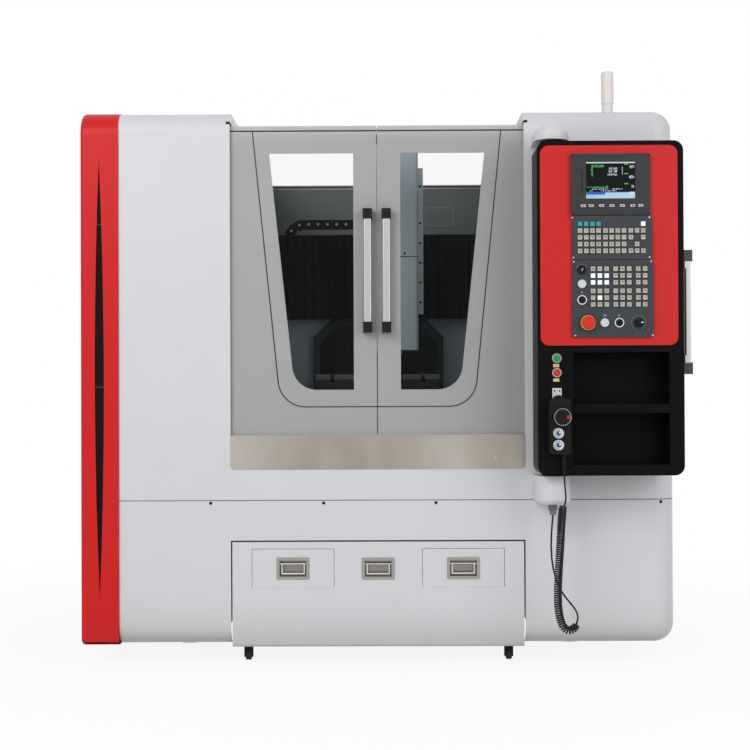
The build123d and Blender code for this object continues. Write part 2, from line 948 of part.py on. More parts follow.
def make_caster_fork(x, y, crown_top):
    inner = wheel_width / 2 + fork_gap
    outer = inner + fork_wall
    axle_y = y + caster_trail
    crown_low = 2 * wheel_radius + fork_wall
    fork = post(x, y, outer, crown_low, crown_top)
    fork += block(x - outer, x + outer, y, axle_y + hub_radius, crown_low, crown_low + fork_wall)
    for side in (-1, 1):
        near = min(side * inner, side * outer)
        far = max(side * inner, side * outer)
        fork += block(x + near, x + far, axle_y - hub_radius, axle_y + hub_radius,
                      wheel_radius - hub_radius,
                      crown_low + fork_wall)
    fork += cross_pin(x - outer, x + outer, axle_y, wheel_radius, axle_radius)
    return fork


def make_front_fork(x):
    fork = make_caster_fork(x, caster_front, caster_plate_bottom - fit_gap)
    low = 2 * wheel_radius + fork_wall
    fork += block(x - pedal_width / 2, x + pedal_width / 2, caster_front - pedal_length, caster_front,
                  low, low + pedal_wall)
    return fork - post(x, caster_front, kingpin_radius + run_clearance, fork_top - fit_gap, cart_bottom)


def make_rear_casters():
    casters = []
    for side in (-1, 1):
        casters.append(make_caster_fork(side * caster_x, caster_back, caster_plate_bottom))
        casters.append(make_caster_wheel(side * caster_x, caster_back + caster_trail))
    return Compound(children=casters)


# Operator pendant
def make_pivot_arms():
    upper_top = upper_arm_bottom + arm_top_wall
    half = arm_width / 2
    upper = block(pivot_x - half, pivot_x + half, pivot_y, 0, upper_arm_bottom, upper_top)
    upper += post(pivot_x, pivot_y, half, upper_arm_bottom, upper_top)
    upper = fillet(rim_at(upper, upper_top).filter_by(lambda edge: edge.center().Y < -pick_slack),
                   arm_round)
    bore_radius = pivot_radius + run_clearance
    upper -= post(pivot_x, pivot_y, bore_radius, upper_arm_bottom - overrun, upper_top - arm_cap_wall)
    lower = block(pivot_x - half, pivot_x + half, pivot_y, 0, lower_arm_bottom, lower_arm_top)
    lower += post(pivot_x, pivot_y, half, lower_arm_bottom, lower_arm_top)
    lower = fillet(rim_at(lower, lower_arm_bottom).filter_by(lambda edge: edge.center().Y < -pick_slack),
                   arm_round / 2)
    lower -= post(pivot_x, pivot_y, bore_radius, lower_arm_bottom - overrun, lower_arm_top + overrun)
    return Compound(children=[upper, lower])


def make_pendant_housing():
    housing = front_plate(pendant_left, pendant_width, pendant_bottom, pendant_height,
                          pendant_front, -pendant_back,
                          pendant_round)
    for low in (shelf_low, shelf_high):
        housing -= block(shelf_left, shelf_left + shelf_width, pendant_front - overrun,
                         pendant_front + shelf_depth,
                         low, low + shelf_height)
    collar_top = pendant_top + collar_height
    pin_top = upper_arm_bottom + arm_top_wall - arm_cap_wall - fit_gap
    housing += post(pivot_x, pivot_y, collar_radius, pendant_top, collar_top)
    housing += post(pivot_x, pivot_y, pivot_radius, collar_top, pin_top)
    housing += post(pivot_x, pivot_y, collar_radius, lower_arm_top + fit_gap, pendant_bottom)
    housing += post(pivot_x, pivot_y, pivot_radius, pivot_end, pendant_bottom)
    gland_low = pivot_end - gland_height
    housing += post(pivot_x, pivot_y, gland_radius, gland_low, pivot_end)
    housing += post(pivot_x, pivot_y, connector_radius, gland_low - connector_height, gland_low)
    for z in (green_z, red_z):
        housing += front_disc(button_x, z, bezel_radius, pendant_front - bezel_height, pendant_front)
        housing -= front_disc(button_x, z, button_radius + fit_gap,
                              pendant_front - bezel_height - overrun,
                              pendant_front + button_height)
    return housing


def make_push_button(z):
    face = pendant_front - bezel_height - button_travel - button_gap
    button = front_disc(button_x, z, button_radius, face, face + button_height)
    return fillet(button.edges().sort_by(Axis.Y)[0], button_round)


def make_pendant_panel():
    return front_plate(red_left, red_width, red_bottom, red_height, panel_front, pendant_front, red_round)


def key_block(x, z, width, height, front, rise):
    return block(x - width / 2, x + width / 2, front - rise, front, z - height / 2, z + height / 2)


def make_display_unit():
    front = panel_front - display_wall
    unit = front_plate(display_left, display_width, display_bottom, display_height, front, panel_front,
                       plate_round)
    unit -= block(screen_left, screen_left + screen_width, front - overrun, front + screen_depth,
                  screen_bottom, screen_bottom + screen_height)
    for x in soft_key_places:
        unit += key_block(x, soft_key_level, soft_key_width, soft_key_height, front, soft_key_rise)
    return unit


def key_places(first, pitch, gap, groups):
    places = []
    for group, count in enumerate(groups):
        for index in range(count):
            places.append(first + len(places) * pitch + group * gap)
    return places


def make_keyboard_panel():
    panel = front_plate(keyboard_left, keyboard_width, keyboard_bottom, keyboard_height, plate_front,
                        panel_front, plate_round)
    columns = key_places(keyboard_first_key, key_pitch, key_group_gap, keyboard_groups)
    for row in range(keyboard_rows):
        for column, x in enumerate(columns):
            if (row, column) not in keyboard_blanks:
                panel += key_block(x, keyboard_first_row + row * key_row_pitch, key_size, key_size, plate_front,
                                   key_rise)
    top_row = keyboard_first_row + keyboard_rows * key_row_pitch
    for x in columns[:top_keys] + columns[-1:]:
        panel += key_block(x, top_row, key_size, key_size, plate_front, key_rise)
    return panel


def make_operation_panel():
    panel = front_plate(operation_left, operation_width, operation_bottom, operation_height, plate_front,
                        panel_front, plate_round)
    rows = key_places(operation_first_row, operation_row_pitch, operation_row_gap, operation_row_groups)
    columns = key_places(operation_first_key, operation_key_pitch, operation_group_gap, operation_groups)
    for z in rows:
        for x in columns:
            panel += key_block(x, z, key_size, key_size, plate_front, key_rise)
    for x, z in ((white_button_x, estop_z), (black_button_x, estop_z), (mode_x, spare_button_z),
                 (mode_x, mode_z)):
        panel += front_disc(x, z, small_button_radius, plate_front - small_button_height, plate_front)
    panel += front_disc(mode_x, key_switch_z, small_button_radius,
                        plate_front - small_button_height, plate_front)
    collar_front = plate_front - estop_collar_height
    panel += front_disc(estop_x, estop_z, estop_collar_radius, collar_front, plate_front)
    panel -= front_disc(estop_x, estop_z, estop_neck_radius + run_clearance, collar_front - overrun,
                        panel_front)
    panel += front_disc(override_x, estop_z, knob_skirt_radius, plate_front - knob_skirt_height,
                        plate_front)
    return panel - front_disc(override_x, estop_z, knob_stem_radius + run_clearance,
                              collar_front - overrun,
                              plate_front + dial_depth)


def make_estop():
    collar_front = plate_front - estop_collar_height
    cap_back = collar_front - estop_neck_height
    button = front_disc(estop_x, estop_z, estop_neck_radius, cap_back,
                        panel_front - estop_travel - button_gap)
    cap = front_disc(estop_x, estop_z, estop_radius, cap_back - estop_cap_height, cap_back)
    cap = fillet(cap.edges().sort_by(Axis.Y)[0], estop_cap_height / 2)
    return button + cap


def fluted_knob(x, z, radius, height, front, flutes):
    knob = front_disc(x, z, radius, front - height, front)
    for index in range(flutes):
        turn = radians(index * 2 * half_turn / flutes)
        knob -= front_disc(x + radius * cos(turn), z + radius * sin(turn), flute_radius,
                           front - height - overrun, front - height / flute_share)
    return knob


def make_override_knob():
    front = plate_front - knob_skirt_height - fit_gap
    knob = fluted_knob(override_x, estop_z, knob_radius, knob_height, front, knob_flutes)
    return knob + front_disc(override_x, estop_z, knob_stem_radius, front,
                             plate_front + dial_depth - fit_gap)


def make_handwheel_unit():
    unit = front_plate(wheel_unit_left, wheel_unit_width, wheel_unit_bottom, wheel_unit_height,
                       unit_front,
                       pendant_front, wheel_unit_round)
    middle_y = (unit_front + pendant_front) / 2
    relief = Pos(relief_x, middle_y, wheel_unit_bottom - relief_length / 2)
    unit += relief * Cone(relief_end_radius, relief_top_radius, relief_length)
    unit += block(button_x - hanger_width / 2, button_x + hanger_width / 2,
                  pendant_front - hanger_wall, pendant_front,
                  hanger_z, hanger_z + hanger_height)
    for x, z in ((wheel_unit_x, wheel_unit_z), (selector_x, axis_selector_z), (selector_x,
                                                                               step_selector_z)):
        unit -= front_disc(x, z, knob_stem_radius + run_clearance, unit_front - overrun,
                           unit_front + dial_depth)
    return unit


def make_unit_knob(x, z, radius, height, flutes):
    front = unit_front - fit_gap
    knob = fluted_knob(x, z, radius, height, front, flutes)
    return knob + front_disc(x, z, knob_stem_radius, front, unit_front + dial_depth - fit_gap)


def make_pendant_handle():
    front = pendant_front + side_handle_setback
    back = front + side_bracket_depth
    reach = pendant_right + side_bracket_reach
    low_bracket = make_face(Polyline((pendant_right, side_handle_low), (reach, side_handle_low),
                                     (reach, side_handle_low + side_bracket_height),
                                     (pendant_right, side_handle_low + 2 * side_bracket_height),
                                     close=True))
    high_bracket = make_face(Polyline((pendant_right, side_handle_high), (reach, side_handle_high),
                                      (reach, side_handle_high - side_bracket_height),
                                      (pendant_right, side_handle_high - 2 * side_bracket_height),
                                      close=True))
    bar_middle = (front + back) / 2
    bar = block(side_bar_x - side_bar_width / 2, side_bar_x + side_bar_width / 2,
                bar_middle - side_bar_depth / 2,
                bar_middle + side_bar_depth / 2, side_handle_low + side_bracket_height / 2,
                side_handle_high - side_bracket_height / 2)
    bar = fillet(bar.edges().filter_by(Axis.Z), handle_round)
    return front_solid(low_bracket, front, back) + bar + front_solid(high_bracket, front, back)


# Curly cord: straight runs joined by arcs as large as the runs allow
def cord_tube(name, route, radius):
    points = [Vector(*point) for point in route]
    radii = []
    for before, point, after in zip(points, points[1:], points[2:]):
        turn = (point - before).get_angle(after - point)
        shorter = min((point - before).length, (after - point).length)
        radii.append(arc_share * shorter / tan(radians(turn / 2)))
    path = FilletPolyline(*points, radius=radii)
    tube = sweep(Plane(path @ 0, z_dir=path % 0) * Circle(radius), path=path)
    print(name, "radii", [round(value) for value in radii], "length", round(path.length),
          "volume share", round(tube.volume / (pi * radius ** 2 * path.length), 4))
    return tube


cords = {
    "cord_lead": cord_tube("cord_lead", lead_route, cord_radius),
    "cord_coil": cord_tube("cord_coil", coil_route, coil_radius),
    "cord_return": cord_tube("cord_return", return_route, cord_radius),
}
right_door = {"door": make_door_panel(), "window": make_window(), "handle": make_handle()}
drawer_x = bay_inner + bay_width / 2
pieces = {
    "bed": make_bed(),
    "levelling_feet": make_levelling_feet(),
    "base_skirt": make_base_skirt(),
    "left_cabinet": make_left_cabinet(),
    "right_cabinet": make_right_cabinet(),
    "rear_panel": make_rear_panel(),
    "end_cover": make_end_cover(),
    "end_cover_insert": make_slit_insert(),
    "sill_strip": make_sill_strip(),
    "door_tracks": make_door_tracks(),
    "chamber_liner": make_chamber_liner(),
    "portal_frame": make_portal_frame(),
    "bridge": make_bridge(),
    "tower_light": make_tower_light(),
    "pivot_arms": make_pivot_arms(),
    "left_bellows": make_x_bellows(-half_opening, saddle_left - fit_gap),
    "right_bellows": make_x_bellows(saddle_right + fit_gap, half_opening),
    "table_bellows": make_table_bellows(),
    "drag_chain": make_drag_chain(),
    "x_saddle": make_x_saddle(),
    "z_head": make_z_head(),
    "spindle": make_spindle(),
    "table": make_table(),
    "chip_cart": make_chip_cart(),
    "cart_handle_dish": make_dish(0, cart_dish_middle),
    "cart_handle_bail": make_bail(0, cart_dish_middle),
    "rear_casters": make_rear_casters(),
    "pendant_housing": make_pendant_housing(),
    "pendant_panel": make_pendant_panel(),
    "display_unit": make_display_unit(),
    "keyboard_panel": make_keyboard_panel(),
    "operation_panel": make_operation_panel(),
    "estop_button": make_estop(),
    "green_button": make_push_button(green_z),
    "red_button": make_push_button(red_z),
    "override_knob": make_override_knob(),
    "handwheel_unit": make_handwheel_unit(),
    "handwheel": make_unit_knob(wheel_unit_x, wheel_unit_z, handwheel_radius, handwheel_height,
                                handwheel_knurls),
    "axis_selector": make_unit_knob(selector_x, axis_selector_z, selector_radius, selector_height,
                                    knob_flutes),
    "step_selector": make_unit_knob(selector_x, step_selector_z, selector_radius, selector_height,
                                    knob_flutes),
    "pendant_handle": make_pendant_handle(),
}
for name, solid in right_door.items():
    pieces["right_" + name] = solid
    pieces["left_" + name] = mirrored(solid)
for word, side in (("left", -1), ("right", 1)):
    pieces[word + "_drawer"] = make_drawer(side)
    pieces[word + "_drawer_dish"] = make_dish(side * drawer_x, drawer_dish_middle)
    pieces[word + "_drawer_bail"] = make_bail(side * drawer_x, drawer_dish_middle)
    pieces[word + "_caster_fork"] = make_front_fork(side * caster_x)
    pieces[word + "_caster_wheel"] = make_caster_wheel(side * caster_x, caster_front + caster_trail)

# The origin goes to the bottom centre of everything but the cord
boxes = [solid.bounding_box() for solid in pieces.values()]
middle_x = (min(box.min.X for box in boxes) + max(box.max.X for box in boxes)) / 2
middle_y = (min(box.min.Y for box in boxes) + max(box.max.Y for box in boxes)) / 2
to_origin = Pos(-middle_x, -middle_y, -min(box.min.Z for box in boxes))
os.makedirs("parts", exist_ok=True)
for name, solid in {**pieces, **cords}.items():
    moved = [to_origin * body for body in solid.solids()]
    export_step(Compound(moved) if len(moved) > 1 else moved[0], "parts/" + name + ".step")
print("nodes", len(pieces) + len(cords), "moved by", to_origin.position)
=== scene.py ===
import bpy
import bmesh
import math
from mathutils import Matrix, Vector


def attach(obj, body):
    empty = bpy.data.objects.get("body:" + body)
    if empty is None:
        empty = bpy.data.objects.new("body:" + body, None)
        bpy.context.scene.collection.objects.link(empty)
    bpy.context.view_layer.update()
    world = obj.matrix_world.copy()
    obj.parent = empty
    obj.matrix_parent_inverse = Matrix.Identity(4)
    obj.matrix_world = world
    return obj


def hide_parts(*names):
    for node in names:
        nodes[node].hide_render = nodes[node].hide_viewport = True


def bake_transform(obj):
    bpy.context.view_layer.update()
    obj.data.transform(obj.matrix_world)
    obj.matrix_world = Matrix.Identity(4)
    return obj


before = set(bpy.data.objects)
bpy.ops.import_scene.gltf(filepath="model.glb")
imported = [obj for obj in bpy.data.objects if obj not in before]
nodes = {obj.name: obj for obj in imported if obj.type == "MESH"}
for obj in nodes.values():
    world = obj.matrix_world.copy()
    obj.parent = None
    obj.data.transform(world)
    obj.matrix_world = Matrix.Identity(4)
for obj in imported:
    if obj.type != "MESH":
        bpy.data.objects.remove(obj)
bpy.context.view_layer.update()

# drawing places are in millimetres from the middle of the doors, the front skin and the floor
drawingZero = {"x": 11.0, "y": 609.35}


def place(x, y, z):
    return Vector(((x - drawingZero["x"]) / 1000, (y - drawingZero["y"]) / 1000, z / 1000))


# shader maths: a wrapped socket, and the finish that makes its nodes
class Sock:
    def __init__(self, finish, socket):
        self.finish = finish
        self.socket = socket

    def math(self, operation, *values):
        return self.finish.node("ShaderNodeMath", {"operation": operation}, list(values))

    def atLeast(self, limit):
        return self.math("MAXIMUM", self, limit)

    def atMost(self, limit):
        return self.math("MINIMUM", self, limit)

    def __add__(self, other):
        return self.math("ADD", self, other)

    def __sub__(self, other):
        return self.math("SUBTRACT", self, other)

    def __rsub__(self, other):
        return self.math("SUBTRACT", other, self)

    def __mul__(self, other):
        return self.math("MULTIPLY", self, other)

    def __truediv__(self, other):
        return self.math("DIVIDE", self, other)

    def __mod__(self, other):
        return self.math("FLOORED_MODULO", self, other)

    def __gt__(self, other):
        return self.math("GREATER_THAN", self, other)

    def __lt__(self, other):
        return self.math("LESS_THAN", self, other)

    def __abs__(self):
        return self.math("ABSOLUTE", self)

    def __pow__(self, other):
        return self.math("POWER", self, other)

    __radd__ = __add__
    __rmul__ = __mul__


class Finish:
    def __init__(self, name):
        self.material = bpy.data.materials.new(name)
        self.material.use_nodes = True
        self.tree = self.material.node_tree
        self.shader = self.tree.nodes["Principled BSDF"]
        self.objectSpace = self.node("ShaderNodeTexCoord", out="Object")
        self.x, self.y, self.z = self.split(self.objectSpace)

    def feed(self, socket, value):
        if isinstance(value, Sock):
            self.tree.links.new(value.socket, socket)
        else:
            socket.default_value = value

    def node(self, kind, settings=None, sockets=None, out=0):
        made = self.tree.nodes.new(kind)
        for name, value in (settings or {}).items():
            setattr(made, name, value)
        pairs = sockets.items() if isinstance(sockets, dict) else enumerate(sockets or [])
        for key, value in pairs:
            self.feed(made.inputs[key], value)
        return Sock(self, made.outputs[out])

    def split(self, vector):
        made = self.node("ShaderNodeSeparateXYZ", None, [vector]).socket.node
        return [Sock(self, output) for output in made.outputs]

    def stretched(self, scale):
        return self.node("ShaderNodeMapping", None, {"Vector": self.objectSpace, "Scale": scale})

    def noise(self, scale, detail=2.0, along=None):
        source = self.stretched(along) if along else self.objectSpace
        return self.node("ShaderNodeTexNoise", None, {"Vector": source, "Scale": scale, "Detail": detail})

    def mix(self, factor, first, second):
        return self.node("ShaderNodeMix", {"data_type": "RGBA"}, {0: factor, 6: first, 7: second}, out=2)

    def bump(self, height, distance, strength=1.0):
        values = {"Strength": strength, "Distance": distance, "Height": height}
        self.shaderSet("Normal", self.node("ShaderNodeBump", None, values))

    def shaderSet(self, name, value):
        self.feed(self.shader.inputs[name], value)

    def between(self, value, low, high):
        return (value > low) * (value < high)


def rgba(colour, level=1.0):
    return tuple(min(1.0, part * level) for part in colour) + (1.0,)


# powder coat: a faint cloudiness, orange peel and a tone that turns darker and browner towards the floor
lowToneSpec = {"reach": 0.25, "colour": (0.34, 0.31, 0.26)}


def paintFinish(name, colour, roughness=0.4, peel=0.00012, cloud=0.03, shine=0.35, lowTone=0.0):
    finish = Finish(name)
    clouds = finish.noise(3.5, 4.0)
    tone = finish.mix(clouds, rgba(colour, 1 - cloud), rgba(colour, 1 + cloud))
    if lowTone:
        # a darker, browner tone mixed in over the lowest quarter metre, strongest at the floor
        low = (1 - finish.z / lowToneSpec["reach"]).atLeast(0.0)
        tone = finish.mix(low * low * lowTone, tone, rgba(lowToneSpec["colour"]))
    finish.shaderSet("Base Color", tone)
    finish.shaderSet("Roughness", roughness - 0.05 + finish.noise(26.0, 3.0) * 0.1)
    finish.shaderSet("Specular IOR Level", shine)
    finish.bump(finish.noise(750.0, 1.0), peel, 0.35)
    return finish


# brushed metal: long fine strokes along one direction
def brushedFinish(name, colour, strokes, roughness=0.34, contrast=0.16):
    finish = Finish(name)
    fine = finish.noise(260.0, 6.0, strokes)
    broad = finish.noise(34.0, 2.0, strokes)
    tone = finish.mix(fine * 0.6 + broad * 0.4, rgba(colour, 1 - contrast), rgba(colour, 1 + contrast))
    finish.shaderSet("Base Color", tone)
    finish.shaderSet("Metallic", 1.0)
    finish.shaderSet("Roughness", roughness - 0.07 + fine * 0.16)
    finish.bump(fine, 0.00006, 0.5)
    return finish


# moulded plastic: spark-eroded grain
def plasticFinish(name, colour, roughness=0.45, grain=0.00008, shine=0.12):
    finish = Finish(name)
    cloud = finish.noise(14.0, 3.0)
    finish.shaderSet("Base Color", finish.mix(cloud, rgba(colour, 0.94), rgba(colour, 1.06)))
    finish.shaderSet("Roughness", roughness - 0.04 + finish.noise(180.0, 2.0) * 0.08)
    finish.shaderSet("Specular IOR Level", shine)
    finish.bump(finish.noise(1400.0, 1.0), grain, 0.5)
    return finish


# cast and ground metal: coarse skin under paint
def castFinish(name, colour, metallic=0.0, roughness=0.5):
    finish = Finish(name)
    skin = finish.noise(90.0, 5.0)
    finish.shaderSet("Base Color", finish.mix(finish.noise(7.0, 4.0), rgba(colour, 0.9), rgba(colour, 1.1)))
    finish.shaderSet("Metallic", metallic)
    finish.shaderSet("Roughness", roughness - 0.08 + skin * 0.16)
    finish.bump(skin, 0.0005, 0.3)
    return finish


# camera where the photograph was taken from
viewpoint = {"x": 31.8, "y": -5000.0, "z": 938.7, "yaw": -0.008, "tilt": 0.0082, "roll": 0.0041, "lens": 70.66}


def makeCamera(view):
    lens = bpy.data.cameras.new("camera")
    lens.lens = view["lens"]
    lens.sensor_width = 36.0
    camera = bpy.data.objects.new("camera", lens)
    turn = Matrix.Rotation(-view["yaw"], 4, "Z") @ Matrix.Rotation(math.pi / 2 + view["tilt"], 4, "X")
    camera.matrix_world = Matrix.Translation(place(view["x"], view["y"], view["z"])) @ turn @ Matrix.Rotation(
        -view["roll"], 4, "Z")
    bpy.context.collection.objects.link(camera)
    bpy.context.scene.camera = camera


makeCamera(viewpoint)
print("camera placed")

# curly cord of the handwheel unit: lead, coil and return in one line
curlyCord = {
    "lead": [(604, -237, 655), (605, -235, 624), (610, -222, 594), (613, -204, 568), (604, -192, 550)],
    "coil": [(604, -192, 550), (600, -184, 495), (598, -178, 435), (594, -174, 370), (590, -173, 305),
             (588, -173, 240), (592, -173, 190), (604, -173, 150), (630, -173, 134), (653, -172, 158)],
    "back": [(653, -172, 158), (657, -168, 186), (643, -159, 215), (612, -148, 248), (586, -136, 298),
             (573, -125, 368), (573, -119, 446), (580, -118, 514)],
    "wire": 0.006, "coilAcross": 0.029, "pitch": 0.0072, "stepsEachTurn": 12, "fadeTurns": 1.5,
    "startShare": 0.45, "length": 4.94,
}


def smoothLine(name, points, order=3):
    curve = bpy.data.curves.new(name, "CURVE")
    curve.dimensions = "3D"
    spline = curve.splines.new("NURBS")
    spline.points.add(len(points) - 1)
    for point, where in zip(spline.points, points):
        point.co = (*where, 1.0)
    spline.order_u = order
    spline.use_endpoint_u = True
    spline.resolution_u = 8
    made = bpy.data.objects.new(name, curve)
    bpy.context.collection.objects.link(made)
    return made


def pointsOn(line):
    bpy.context.view_layer.update()
    mesh = bpy.data.meshes.new_from_object(line.evaluated_get(bpy.context.evaluated_depsgraph_get()))
    found = [vertex.co.copy() for vertex in mesh.vertices]
    bpy.data.meshes.remove(mesh)
    return found


def alongLine(points, distances):
    found = []
    index = 0
    walked = 0.0
    for distance in distances:
        span = (points[index + 1] - points[index]).length
        while walked + span < distance and index < len(points) - 2:
            walked += span
            index += 1
            span = (points[index + 1] - points[index]).length
        share = min(1.0, (distance - walked) / max(span, 1e-9))
        here, there = points[index], points[index + 1]
        found.append((here.lerp(there, share), (there - here).normalized()))
    return found


def curlPoints(spec):
    axisLine = smoothLine("coilAxis", [place(*point) for point in spec["coil"]])
    axis = pointsOn(axisLine)
    bpy.data.objects.remove(axisLine)
    length = sum((after - before).length for before, after in zip(axis, axis[1:]))
    turns = round(length / spec["pitch"])
    steps = turns * spec["stepsEachTurn"]
    radius = (spec["coilAcross"] - spec["wire"]) / 2
    fade = spec["fadeTurns"] * spec["stepsEachTurn"]
    side = Vector((1.0, 0.0, 0.0))
    found = []
    stations = alongLine(axis, [length * step / steps for step in range(steps + 1)])
    for step, (middle, forward) in enumerate(stations):
        side = (side - forward * side.dot(forward)).normalized()
        other = forward.cross(side)
        angle = 2 * math.pi * step / spec["stepsEachTurn"]
        grown = radius * min(1.0, spec["startShare"] + min(step, steps - step) / fade)
        found.append(middle + (side * math.cos(angle) + other * math.sin(angle)) * grown)
    return found


def makeCurlyCord(spec, finish):
    line = [place(*point) for point in spec["lead"][:-1]] + curlPoints(spec)
    line += [place(*point) for point in spec["back"][1:]]
    cord = smoothLine("curlyCord", line)
    cord.data.splines[0].resolution_u = 2
    cord.data.bevel_depth = spec["wire"] / 2
    cord.data.bevel_resolution = 2
    cord.data.use_fill_caps = True
    cord.data.materials.append(finish.material)
    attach(cord, "pendant")
    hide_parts("cord_lead", "cord_coil", "cord_return")
    tuple(place(*spec["lead"][0]))


cordPlastic = plasticFinish("cordPlastic", (0.022, 0.022, 0.024), 0.38)
makeCurlyCord(curlyCord, cordPlastic)
print("curly cord laid")

# pale floor and soft studio light; the camera sees plain white round the machine
studio = {
    "floorSize": 60.0, "floorColour": (0.86, 0.86, 0.86), "floorRoughness": 0.75, "floorWhite": 0.86,
    "whiteBeyond": 3.0, "world": 0.36,
    "lamps": {
        "keyLight": ((-2.6, -4.6, 3.6), (0.0, 0.0, 0.9), (3.2, 2.4), 117.0),
        "fillLight": ((3.4, -4.2, 2.4), (0.2, 0.0, 0.9), (3.0, 2.4), 67.0),
        "topLight": ((0.0, 0.4, 4.6), (0.0, 0.2, 0.0), (3.6, 3.0), 6.0),
        "rearLight": ((1.4, 5.4, 1.7), (0.0, 0.0, 0.9), (3.2, 2.4), 46.0),
    },
}


def makeArea(name, at, aim, size, power):
    lamp = bpy.data.lights.new(name, "AREA")
    lamp.shape = "RECTANGLE"
    lamp.size, lamp.size_y = size
    lamp.energy = power
    made = bpy.data.objects.new(name, lamp)
    made.location = at
    made.rotation_euler = (Vector(aim) - Vector(at)).to_track_quat("-Z", "Y").to_euler()
    bpy.context.collection.objects.link(made)


def seenPlain(tree):
    rays = tree.nodes.new("ShaderNodeLightPath").outputs
    seen = rays["Is Camera Ray"]
    for name in ("Is Glossy Ray", "Is Transmission Ray"):
        either = tree.nodes.new("ShaderNodeMath")
        either.operation = "MAXIMUM"
        tree.links.new(seen, either.inputs[0])
        tree.links.new(rays[name], either.inputs[1])
        seen = either.outputs[0]
    return seen


def makeStudio(spec):
    bpy.context.scene.view_settings.view_transform = "Standard"
    world = bpy.data.worlds.new("studioWorld")
    bpy.context.scene.world = world
    world.use_nodes = True
    tree = world.node_tree
    background = tree.nodes["Background"]
    background.inputs["Color"].default_value = (1.0, 1.0, 1.0, 1.0)
    level = tree.nodes.new("ShaderNodeMapRange")
    level.inputs["To Min"].default_value = spec["world"]
    level.inputs["To Max"].default_value = 1.0
    tree.links.new(seenPlain(tree), level.inputs["Value"])
    tree.links.new(level.outputs[0], background.inputs["Strength"])
    half = spec["floorSize"] / 2
    mesh = bpy.data.meshes.new("floor")
    corners = [(-half, -half, 0), (half, -half, 0), (half, half, 0), (-half, half, 0)]
    mesh.from_pydata(corners, [], [(0, 1, 2, 3)])
    floor = bpy.data.objects.new("floor", mesh)
    bpy.context.collection.objects.link(floor)
    finish = Finish("floorWhite")
    pale = spec["floorColour"]
    finish.shaderSet("Base Color", finish.mix(finish.noise(2.0, 3.0), rgba(pale, 0.99), rgba(pale, 1.01)))
    finish.shaderSet("Roughness", spec["floorRoughness"])
    glow = finish.tree.nodes.new("ShaderNodeEmission")
    blend = finish.tree.nodes.new("ShaderNodeMixShader")
    away = (finish.x * finish.x + finish.y * finish.y) ** 0.5 / spec["whiteBeyond"]
    white = spec["floorWhite"] + away.atMost(1.0) * (1 - spec["floorWhite"])
    seen = Sock(finish, seenPlain(finish.tree)) * white
    finish.tree.links.new(seen.socket, blend.inputs[0])
    finish.tree.links.new(finish.shader.outputs[0], blend.inputs[1])
    finish.tree.links.new(glow.outputs[0], blend.inputs[2])
    finish.tree.links.new(blend.outputs[0], finish.tree.nodes["Material Output"].inputs[0])
    floor.data.materials.append(finish.material)
    for name, (at, aim, size, power) in spec["lamps"].items():
        makeArea(name, at, aim, size, power)


makeStudio(studio)
print("floor and light set")


# finishes of the enclosure; a coat is a mask and the colour that it lets through
def painted(finish, coats):
    tone = Sock(finish, finish.shader.inputs["Base Color"].links[0].from_socket)
    for mask, colour in coats:
        tone = finish.mix(mask, tone, rgba(colour))
    finish.shaderSet("Base Color", tone)
    return finish


doorSpec = {"grooveFrom": 15.2, "grooveTo": 17.2, "grooveColour": (0.03, 0.03, 0.03),
            "highlightFrom": 1.770, "highlightTo": 1.838, "highlightColour": (0.60, 0.61, 0.61)}


def doorFinish(spec):  # grey leaf with the dark groove round its window, and a painted highlight where the top rolls back
    finish = paintFinish("doorGrey", (0.385, 0.39, 0.385), 0.42, 0.00016, 0.02)
    groove = finish.between(finish.y, place(0, spec["grooveFrom"], 0).y, place(0, spec["grooveTo"], 0).y)
    # painted highlight on the rounded top of the leaf, paler towards the top edge
    roll = ((finish.z - spec["highlightFrom"]) / (spec["highlightTo"] - spec["highlightFrom"])).atLeast(0.0)
    return painted(finish, [(roll * roll, spec["highlightColour"]), (groove, spec["grooveColour"])])


rearSpec = {"innerFace": 1498, "flange": 1.812, "shadeBelow": 1.3, "shadeColour": (0.012, 0.013, 0.014),
            "plateLeft": 205, "plateRight": 329, "plateBottom": 1.646, "plateTop": 1.731, "plateEdge": 0.004,
            "plateHighlight": (0.20, 0.235, 0.235)}


def rearFinish(spec):  # white outside, grey-green inside with painted shade low down, an access plate outlined by a painted highlight, and a pale top flange
    finish = paintFinish("rearCoat", (0.68, 0.69, 0.71), 0.42)
    inside = (finish.y < place(0, spec["innerFace"], 0).y) * (finish.z < spec["flange"])
    white = finish.shader.inputs["Base Color"].links[0].from_socket
    green = finish.mix(finish.noise(5.0, 3.0), (0.108, 0.132, 0.130, 1.0), (0.13, 0.154, 0.151, 1.0))
    left, right = place(spec["plateLeft"], 0, 0).x, place(spec["plateRight"], 0, 0).x
    low, high, edge = spec["plateBottom"], spec["plateTop"], spec["plateEdge"]
    # the access plate's outline is a painted highlight along its edge, paler than the wall
    whole = finish.between(finish.x, left, right) * finish.between(finish.z, low, high)
    middle = finish.between(finish.x, left + edge, right - edge) * finish.between(
        finish.z, low + edge, high - edge)
    lined = finish.mix(whole - middle, green, rgba(spec["plateHighlight"]))
    # painted shade: below the set height the inner face turns near black
    deepShade = finish.mix((finish.z < spec["shadeBelow"]) * 1.0, lined, rgba(spec["shadeColour"]))
    finish.shaderSet("Base Color", finish.mix(inside, Sock(finish, white), deepShade))
    return finish


slitSpec = {"colour": (0.008, 0.007, 0.007), "joints": (1.496, 0.942), "jointHalf": 0.0015,
            "jointColour": (0.08, 0.075, 0.07)}


def slitFinish(spec):  # black strip in three lengths
    finish = plasticFinish("slitBlack", spec["colour"], 0.5, shine=0.05)
    upper, lower = [finish.between(finish.z, z - spec["jointHalf"], z + spec["jointHalf"]) for z in spec["joints"]]
    finish.shaderSet("Base Color", finish.mix(upper + lower, rgba(spec["colour"]), rgba(spec["jointColour"])))
    return finish


towerSpec = {"lensFrom": 1.954, "stemColour": (0.82, 0.82, 0.82)}


